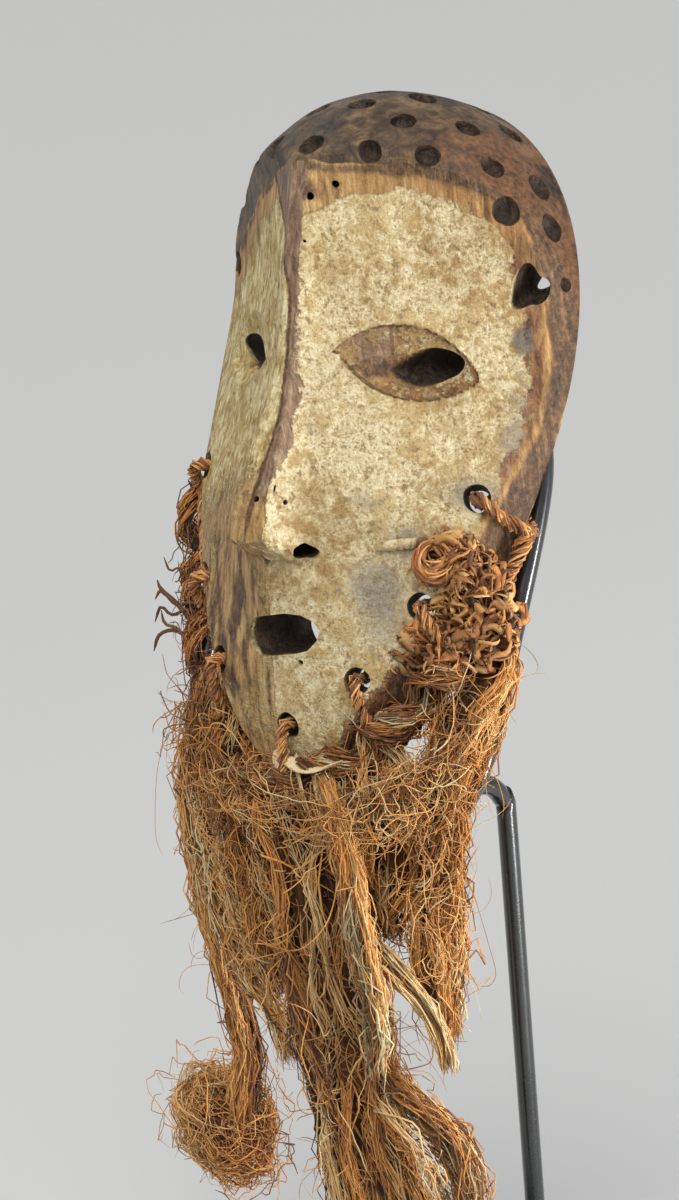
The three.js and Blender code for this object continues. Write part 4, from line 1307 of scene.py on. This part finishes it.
def core(name, hank):
    """The dense middle of a hank, so that daylight doesn't show through it. Its dark colour is painted shade
    for the fibres deep inside.
    """
    count, sides = 60, 26
    path = curve_points(hank_route(hank), count)
    n, b = moving_frames(path)
    share = np.linspace(0, 1, count)
    ends = np.clip(np.minimum(share / 0.05, (1 - share) / 0.3), 0.05, 1)
    radius = radius_at(hank, share) * CORE_SHARE * ends
    angle = circle_angles(sides)
    shape = (count, sides)
    around = [np.broadcast_to(np.cos(angle) * 2.5, shape), np.broadcast_to(np.sin(angle) * 2.5, shape),
              np.broadcast_to(share[:, None] * 3, shape)]
    groove = 1 + 0.16 * fractal(np.stack(around, -1), 2, 9)
    return sweep(name, path, n, b * hank.get("flat", 0.9), radius[:, None] * groove, sides)


FIBRE_SHADES = [(0.0, rgb(74, 40, 16)), (0.2, rgb(128, 76, 32)), (0.4, rgb(180, 116, 50)),
                (0.6, rgb(212, 148, 72)), (0.78, rgb(214, 172, 108)), (0.9, rgb(206, 178, 128)),
                (1.0, rgb(224, 204, 158))]
CORD_SHADES = [(0.0, rgb(70, 44, 26)), (0.2, rgb(112, 72, 40)), (0.45, rgb(168, 106, 56)),
               (0.7, rgb(206, 142, 76)), (1.0, rgb(228, 180, 112))]

carved_wood = mask_material()
beard_fibre = fibre_material("beard_fibre_dry", FIBRE_SHADES)
cord_fibre = fibre_material("cord_fibre_red_brown", CORD_SHADES, 0.7)
shadow_fibre = core_material()
steel = steel_material()


def build_mask():
    obj = mask_mesh()
    for cutters in (openings(), lace_holes(), small_holes()):
        cut_out(obj, cutters)
    sharpen(obj, 38)
    paint_mask(obj)
    lean(obj)
    dress(obj, carved_wood, "carved_wood", "mask")
    sliver = splinter()
    lean(sliver)
    dress(sliver, carved_wood, "carved_wood")


def build_lacing():
    rng = np.random.default_rng(21)
    paths = twisted(rng, run_route(), LACE_RADIUS * 1.05, 3, 0.075, 16)
    long_paths = same_length(paths, 115)
    strands = strand_mesh("lacing_cord_fibres", to_stand(long_paths), rng.uniform(0.3, 0.5, len(paths)),
                          rng.uniform(0.1, 0.9, len(paths)))
    dress(strands, cord_fibre, "lacing", "lacing_cord")
    loops = []
    for i in range(1, 8):
        loops += twisted(rng, loop_route(i), LACE_RADIUS * 0.9, 3, 0.09, 12)
    loops = same_length(loops, 28)
    ties = strand_mesh("lacing_ties", to_stand(loops), rng.uniform(0.25, 0.42, len(loops)),
                       rng.uniform(0.1, 0.95, len(loops)))
    dress(ties, cord_fibre, "lacing")


def build_hank(name, hank, seed, thick=(0.15, 0.35), points=12):
    """Strands of a hank or lock. A strand that runs inside the dark core is left out."""
    rng = np.random.default_rng(seed)
    paths, out, lock = hank_paths(rng, hank, hank["strands"], points)
    has_core = name in HANKS and name != CORELESS
    if has_core:
        seen = np.mean(out < CORE_SHARE * 0.93, axis=1) < 0.8
        paths, out, lock = paths[seen], out[seen], lock[seen]
    lock_tint = rng.normal(hank["tint"], 0.22, hank["locks"])
    tint = np.clip(lock_tint[lock] + rng.normal(0, 0.12, len(paths)), 0, 1)
    # How far out each strand lies gives it painted shade deep inside the hank.
    obj = strand_mesh(name + "_fibres", paths, rng.uniform(*thick, len(paths)), tint, inner=out)
    dress(obj, beard_fibre, "beard_fibre", *([name] if name in HANKS else []))
    if has_core:
        dress(core(name + "_core", hank), shadow_fibre, "beard_fibre")
    return paths


def roots_round(spine, at, radius, angle, out):
    """Places round a middle line, given by its rows, the angle and the share of the radius."""
    n, b = moving_frames(spine)
    return spine[at] + turned(angle, n[at], b[at]) * (radius * out)[:, None]


def tangle_paths(rng, tangle, points):
    """Curly hairs inside a soft tube round a middle line."""
    spine = curve_points(tangle["path"], 120)
    count = tangle["hairs"]
    s = rng.uniform(0, 1, count)
    angle = rng.uniform(0, 2 * math.pi, count)
    out = np.sqrt(rng.uniform(0.05, 1.0, count)) * 0.85
    roots = roots_round(spine, (s * 119).astype(int), radius_at(tangle, s), angle, out)
    heading = rng.normal(0, 0.8, (count, 3)) + (0, 0, -tangle["down"])
    length = rng.uniform(*tangle["length"], count)
    curl = rng.choice([0.1, 0.2, 0.34], count)[:, None]
    paths = stray_paths(rng, roots, heading, length, points, curl, 0.03)
    coarse = spine[::6]
    nearest = np.argmin(np.linalg.norm(paths[:, :, None] - coarse[None, None], axis=-1), axis=-1)
    centre = coarse[nearest]
    rel = paths - centre
    away = np.linalg.norm(rel, axis=-1, keepdims=True)
    limit = radius_at(tangle, nearest / (len(coarse) - 1))[..., None]
    limit = limit * rng.uniform(0.85, 1.35, count)[:, None, None]
    held = np.where(away > limit, limit + (away - limit) * 0.25, away)
    return centre + rel * held / (away + 1e-6), np.clip(held[..., 0] / limit[..., 0], 0, 1)


def build_tangle(name, tangle, seed, points=13):
    rng = np.random.default_rng(seed)
    paths, out = tangle_paths(rng, tangle, points)
    thick = rng.uniform(0.1, 0.22, len(paths))
    tint = np.clip(rng.normal(tangle["tint"], 0.2, len(paths)), 0, 1)
    # Hairs deep inside the tangle get painted shade.
    obj = strand_mesh(name, paths, thick, tint, inner=out)
    dress(obj, cord_fibre if name.startswith("cord") else beard_fibre, "beard_fibre")


def build_tassel():
    """The round tassel that the left hank ends in: turns of fibre wound aslant, with loose ends."""
    rng = np.random.default_rng(77)
    centre = np.array([-55.0, -33.0, 83.0])
    count, points = 820, 13
    axis = unit(np.array([0.55, -0.2, 0.8]) + rng.normal(0, 0.75, (count, 3)))
    u = unit(np.cross(axis, rng.normal(size=(count, 3))))
    v = np.cross(axis, u)
    start = rng.uniform(0, 2 * math.pi, count)
    sweep = rng.uniform(0.7, 2.4, count)
    angle = start[:, None] + sweep[:, None] * np.linspace(0, 1, points)[None]
    radius = 16.5 * rng.uniform(0.25, 1.0, count) ** 0.5 * (1 + 0.35 * (rng.uniform(0, 1, count) > 0.93))
    paths = turned(angle, u[:, None], v[:, None]) * radius[:, None, None]
    paths += axis[:, None] * rng.uniform(-7, 7, count)[:, None, None]
    lean_over = np.array([[0.92, 0, -0.22], [0, 0.9, 0], [-0.18, 0, 1.08]])
    paths = paths @ lean_over.T
    paths += wiggle(rng, count, points, 1.6, 2.2)
    lump = 1 + 0.24 * fractal(paths / 12 + 5, 3, 61)[..., None]
    paths = paths * lump
    # Painted shade deep inside the tassel, from how far out each turn lies.
    out = np.clip(np.linalg.norm(paths, axis=2) / 17, 0, 1)
    # Painted shade: fibres on the side towards the beard's middle and lower down are darker.
    shade = smoothstep(paths[:, 6, 0] - 0.2 * paths[:, 6, 2], -4, 10)
    tint = np.clip(rng.normal(0.68, 0.17, count) - 0.3 * shade, 0, 1)
    thick = rng.uniform(0.12, 0.24, count)
    obj = strand_mesh("beard_left_tassel_fibres", paths + centre, thick, tint, inner=out)
    dress(obj, beard_fibre, "beard_fibre", "beard_left_hank")
    # A dark ball inside, coloured as the painted shade in the tassel's middle.
    heart = ball(centre, 11.5, 4)
    inside = mesh_object("beard_left_tassel_core", *heart)
    fix_outward(inside)
    dress(inside, shadow_fibre, "beard_fibre")


def build_strays(all_paths):
    rng = np.random.default_rng(303)
    roots, directions = [], []
    for paths, count in all_paths:
        pick = rng.integers(0, len(paths), count)
        at = rng.integers(1, paths.shape[1] - 1, count)
        roots.append(paths[pick, at])
        side = rng.normal(size=(count, 3))
        side[:, 2] = side[:, 2] * 0.5 - 0.4
        directions.append(side)
    roots = np.vstack(roots)
    directions = np.vstack(directions)
    count = len(roots)
    length = np.minimum(rng.gamma(3.0, 4.5, count) + 4, 30)
    paths = stray_paths(rng, roots, directions, length, 13, 0.24, 0.05)
    low, high_ = np.array([-76.0, -77.0, 12.0]), np.array([76.0, 60.0, 390.0])
    obj = strand_mesh("beard_stray_hairs", np.clip(paths, low, high_), rng.uniform(0.06, 0.13, count),
                      np.clip(rng.normal(0.52, 0.2, count), 0, 1))
    dress(obj, beard_fibre, "beard_fibre")
    right_hair = [(53, -43, 184), (57, -43, 176), (60.5, -43, 164), (62.3, -43, 156), (60, -43, 152),
                  (56, -43, 151)]
    left_hair = [(-50, -38, 218), (-58, -38, 208), (-64, -38, 197), (-67, -38, 184), (-68, -38, 173),
                 (-66, -38, 168)]
    pair = np.array([curve_points(right_hair, 24), curve_points(left_hair, 24)])
    obj = strand_mesh("beard_long_hairs", pair, np.array([0.13, 0.1]), np.array([0.4, 0.7]))
    dress(obj, beard_fibre, "beard_fibre")


def build_twigs():
    """Stiff dark twigs that stick out of the lacing on the left, and pale strips of bast under the chin."""
    twigs = [
        [(-51, -26, 231), (-56, -26, 236), (-61, -27, 242), (-66, -28, 246), (-67.5, -28, 249)],
        [(-51, -26, 233), (-58, -27, 233), (-64, -27, 234), (-69, -28, 232), (-71.5, -28, 227)],
        [(-53, -25, 242), (-57, -26, 243), (-62, -27, 242), (-66, -28, 246), (-69, -28, 243)],
        [(-52, -25, 238), (-57, -27, 241), (-63, -28, 239), (-67, -28, 241), (-70, -28, 236)],
        [(-52, -26, 228), (-56, -28, 230), (-61, -28, 235), (-66, -28, 236), (-67, -28, 240)],
        [(-55, -22, 246), (-58, -25, 250), (-60, -26, 253), (-63, -27, 252), (-65, -27, 256)],
    ]
    paths = np.array([curve_points(t, 14) for t in twigs])
    obj = strand_mesh("lacing_twigs", paths, np.array([0.75, 0.6, 0.55, 0.5, 0.5, 0.35]),
                      np.array([0.12, 0.1, 0.16, 0.08, 0.2, 0.15]), corners=5)
    dress(obj, cord_fibre, "lacing")
    strips = [
        [(-2, -54, 214), (1, -57, 210), (4, -59, 205), (6, -60, 199)],
        [(6, -55, 214), (9, -58, 210), (12, -60, 205), (14, -60, 199)],
        [(3, -56, 213), (11, -59, 212), (19, -60, 213), (26, -58, 216)],
        [(-24, -50, 201), (-17, -53, 204), (-9, -56, 207), (-2, -57, 209)],
        [(14, -56, 213), (17, -59, 208), (19, -60, 203), (20, -60, 198)],
        [(-20, -51, 198), (-14, -54, 203), (-7, -57, 205), (0, -58, 208)],
    ]
    paths = np.array([curve_points(t, 12) for t in strips])
    obj = strand_mesh("lacing_bast_strips", paths, np.array([2.1, 1.7, 1.9, 1.1, 1.3, 0.8]),
                      np.array([0.95, 0.9, 1.0, 0.9, 0.85, 0.95]), flat=0.2, corners=8)
    dress(obj, beard_fibre, "lacing")


def on_cheek(x, z, lift):
    point, normal = surface_frame(wide(x), high(z))
    return point + normal * lift


def build_knot():
    """The braid of broad flat fibres on the right cheek, with the round knot at its top."""
    rng = np.random.default_rng(55)
    count, points, steps = 560, 11, 60
    places = [(0.74, 0.36, 2), (0.79, 0.32, 4), (0.8, 0.27, 6), (0.74, 0.22, 6), (0.68, 0.18, 4)]
    route = [on_cheek(*place) for place in places]
    spine = curve_points(route, steps)
    radius = along([(0, 6), (0.3, 8.5), (0.6, 9.5), (1, 7)], np.linspace(0, 1, steps))
    at = (rng.uniform(0.0, 1.0, count) * (steps - 1)).astype(int)
    angle = rng.uniform(0, 2 * math.pi, count)
    out = rng.uniform(0.35, 1.0, count)
    roots = roots_round(spine, at, radius[at], angle, out)
    tangent = unit(np.gradient(spine, axis=0))
    heading = tangent[at] * rng.choice([-1, 1], count)[:, None] + rng.normal(0, 0.6, (count, 3))
    paths = stray_paths(rng, roots, heading, rng.uniform(6, 15, count), points, 0.17, 0.02)
    centre = spine[at][:, None]
    rel = paths - centre
    reach = np.linalg.norm(rel, axis=2, keepdims=True)
    limit = (radius[at] * 1.12)[:, None, None]
    paths = lift_off(centre + rel * np.minimum(1, limit / (reach + 1e-6)))
    wide_strips = 0.3 + rng.gamma(2.2, 0.28, count)
    tint = np.clip(rng.normal(0.66, 0.26, count), 0, 1)
    # Strips rooted deep in the braid get painted shade.
    obj = strand_mesh("knot_right_fibres", to_stand(paths), wide_strips, tint, flat=0.2, corners=4,
                      inner=np.repeat(out[:, None], points, axis=1))
    dress(obj, cord_fibre, "lacing", "knot_right")
    build_knot_ball(rng, on_cheek(0.69, 0.338, 3.5))


def build_knot_ball(rng, centre):
    """The round knot: turns of fibre about an axis that points out of the cheek."""
    turns = []
    for _ in range(90):
        axis = unit(np.array([0.5, -0.8, 0.3]) + rng.normal(0, 0.35, 3))
        u = unit(np.cross(axis, rng.normal(size=3)))
        a = rng.uniform(0, 6.28) + np.linspace(0, rng.uniform(3, 5.5), 18)
        r = 6.2 * rng.uniform(0.6, 1.0)
        turns.append(centre + turned(a, u, np.cross(axis, u)) * r + axis * rng.uniform(-2.5, 2.5))
    turns = lift_off(np.array(turns))
    thick = rng.uniform(0.3, 0.7, len(turns))
    tint = np.clip(rng.normal(0.5, 0.22, len(turns)), 0, 1)
    knot = strand_mesh("knot_right_ball", to_stand(turns), thick, tint, flat=0.4, corners=4)
    dress(knot, cord_fibre, "lacing")


def lift_off(paths):
    """Keeps strands in front of the carved surface."""
    x = np.clip(paths[..., 0], -wide(0.99), wide(0.99))
    z = np.clip(paths[..., 2], 2, MASK_HEIGHT - 2)
    rho, phi = polar(x, z)
    ahead = outer_point(np.minimum(rho, 1), phi)[..., 1] - 0.6
    lifted = paths.copy()
    lifted[..., 1] = np.where(rho < 1.0, np.minimum(paths[..., 1], ahead), paths[..., 1])
    return lifted


def cradle_route():
    behind = CRADLE_BEHIND + ROD_RADIUS
    seat = ROD_RADIUS + GAP
    half = [(0, 4, -seat - 2.6), (0.62, behind, -0.5), (0.84, behind, high(0.06)),
            (0.87, behind, high(0.276)), (0.87, behind - 1, high(0.48)), (0.79, seat + 0.6, high(0.59)),
            (0.72, 1, high(0.7)), (0.58, -deep(0.125), high(0.78))]
    left = [(-wide(x) * LEFT_SHARE, y, z) for x, y, z in reversed(half[1:])]
    return to_stand(np.array(left + [(wide(x), y, z) for x, y, z in half]))


def post_route():
    """From under the chin back and down into the foot, with a round bend."""
    chin = to_stand(np.array([0, 4, -ROD_RADIUS - GAP - 2.6]))
    reach = POST_BACK - chin[1]
    route = [chin, (0, chin[1] + reach * 0.4, POST_TOP + 7), (0, POST_BACK - BEND_RADIUS, POST_TOP)]
    for turn in np.radians([22.5, 45, 67.5, 90]):
        drop = BEND_RADIUS * (1 - math.cos(turn))
        route.append((0, POST_BACK - BEND_RADIUS * (1 - math.sin(turn)), POST_TOP - drop))
    return route + [(0, POST_BACK, POST_TOP / 2), (0, POST_BACK, FOOT_THICKNESS - 4.5)]


def build_stand():
    cradle = rod_piece("display_cradle_round", cradle_route(), 140, 20)
    dress(cradle, steel, "blackened_steel", "display_rod")
    post = rod_piece("display_post_round", post_route(), 110, 24)
    dress(post, steel, "blackened_steel", "display_rod")
    foot = bpy.data.objects["display_foot"]
    foot.data.materials.clear()
    foot.data.materials.append(steel)


def build_floor():
    floor = mesh_object("floor", [(-9000, -9000, 0), (9000, -9000, 0), (9000, 9000, 0), (-9000, 9000, 0)],
                        [(0, 1, 2, 3)], smooth=False)
    s = Shader("pale_floor")
    floor.data.materials.append(s.finish(rgb(198, 199, 198), 0.9, 0.1))


def build_camera():
    azimuth, elevation, roll = math.radians(42), math.radians(15), math.radians(4.7)
    distance = 1.2
    mm_per_pixel = 0.28
    photo_height = 1200
    forward = Vector((-math.sin(azimuth) * math.cos(elevation), math.cos(azimuth) * math.cos(elevation),
                      -math.sin(elevation)))
    right = Vector((math.cos(azimuth), math.sin(azimuth), 0))
    up = right.cross(forward)
    cam_right = right * math.cos(roll) - up * math.sin(roll)
    cam_up = right * math.sin(roll) + up * math.cos(roll)
    data = bpy.data.cameras.new("camera")
    data.sensor_fit = "VERTICAL"
    data.sensor_height = 36
    data.lens = 36 * distance / (mm_per_pixel * MM * photo_height)
    camera = bpy.data.objects.new("camera", data)
    basis = Matrix((cam_right, cam_up, -forward)).transposed().to_4x4()
    target = Vector((0, -0.025, 0.25))
    camera.matrix_world = Matrix.Translation(target - forward * distance) @ basis
    bpy.context.scene.collection.objects.link(camera)
    bpy.context.scene.camera = camera


def area_light(name, place, target, size, power, colour=(1, 1, 1)):
    data = bpy.data.lights.new(name, "AREA")
    data.shape = "RECTANGLE"
    data.size, data.size_y = size
    data.energy = power
    data.color = colour
    light = bpy.data.objects.new(name, data)
    light.location = place
    light.rotation_euler = (Vector(target) - Vector(place)).to_track_quat("-Z", "Y").to_euler()
    bpy.context.scene.collection.objects.link(light)


def build_light():
    world = bpy.data.worlds.new("studio")
    world.use_nodes = True
    world.node_tree.nodes["Background"].inputs["Color"].default_value = (0.96, 0.98, 1.0, 1)
    world.node_tree.nodes["Background"].inputs["Strength"].default_value = 0.42
    bpy.context.scene.world = world
    sun = bpy.data.lights.new("key", "SUN")
    sun.energy = 2.25
    sun.angle = math.radians(45)
    sun.color = (1.0, 0.985, 0.96)
    key = bpy.data.objects.new("key", sun)
    key.rotation_euler = (Vector((0, 0, 0)) - Vector((0.75, -1.35, 2.0))).to_track_quat("-Z", "Y").to_euler()
    bpy.context.scene.collection.objects.link(key)
    area_light("side_strip", (1.5, 0.35, 1.9), (0, 0.03, 0.3), (0.2, 1.2), 9)
    area_light("rod_glint", (0.55, 0.1, 0.1), (0, 0.041, 0.13), (0.06, 0.3), 4.0)
    bpy.context.scene.view_settings.view_transform = "Standard"


build_camera()
build_light()
build_floor()
build_mask()
build_lacing()
build_knot()
build_twigs()
strands_of = {}
for seed, (name, hank) in enumerate({**HANKS, **LOOSE_LOCKS}.items(), 10):
    strands_of[name] = build_hank(name, hank, seed)
for seed, (name, tangle) in enumerate(TANGLES.items(), 40):
    build_tangle(name, tangle, seed)
build_tassel()
strays = {"beard_left_hank": 45, "beard_centre": 110, "beard_right": 110, "beard_left_inner": 40,
          "beard_left_strand": 14}
build_strays([(strands_of[name], count) for name, count in strays.items()])
build_stand()
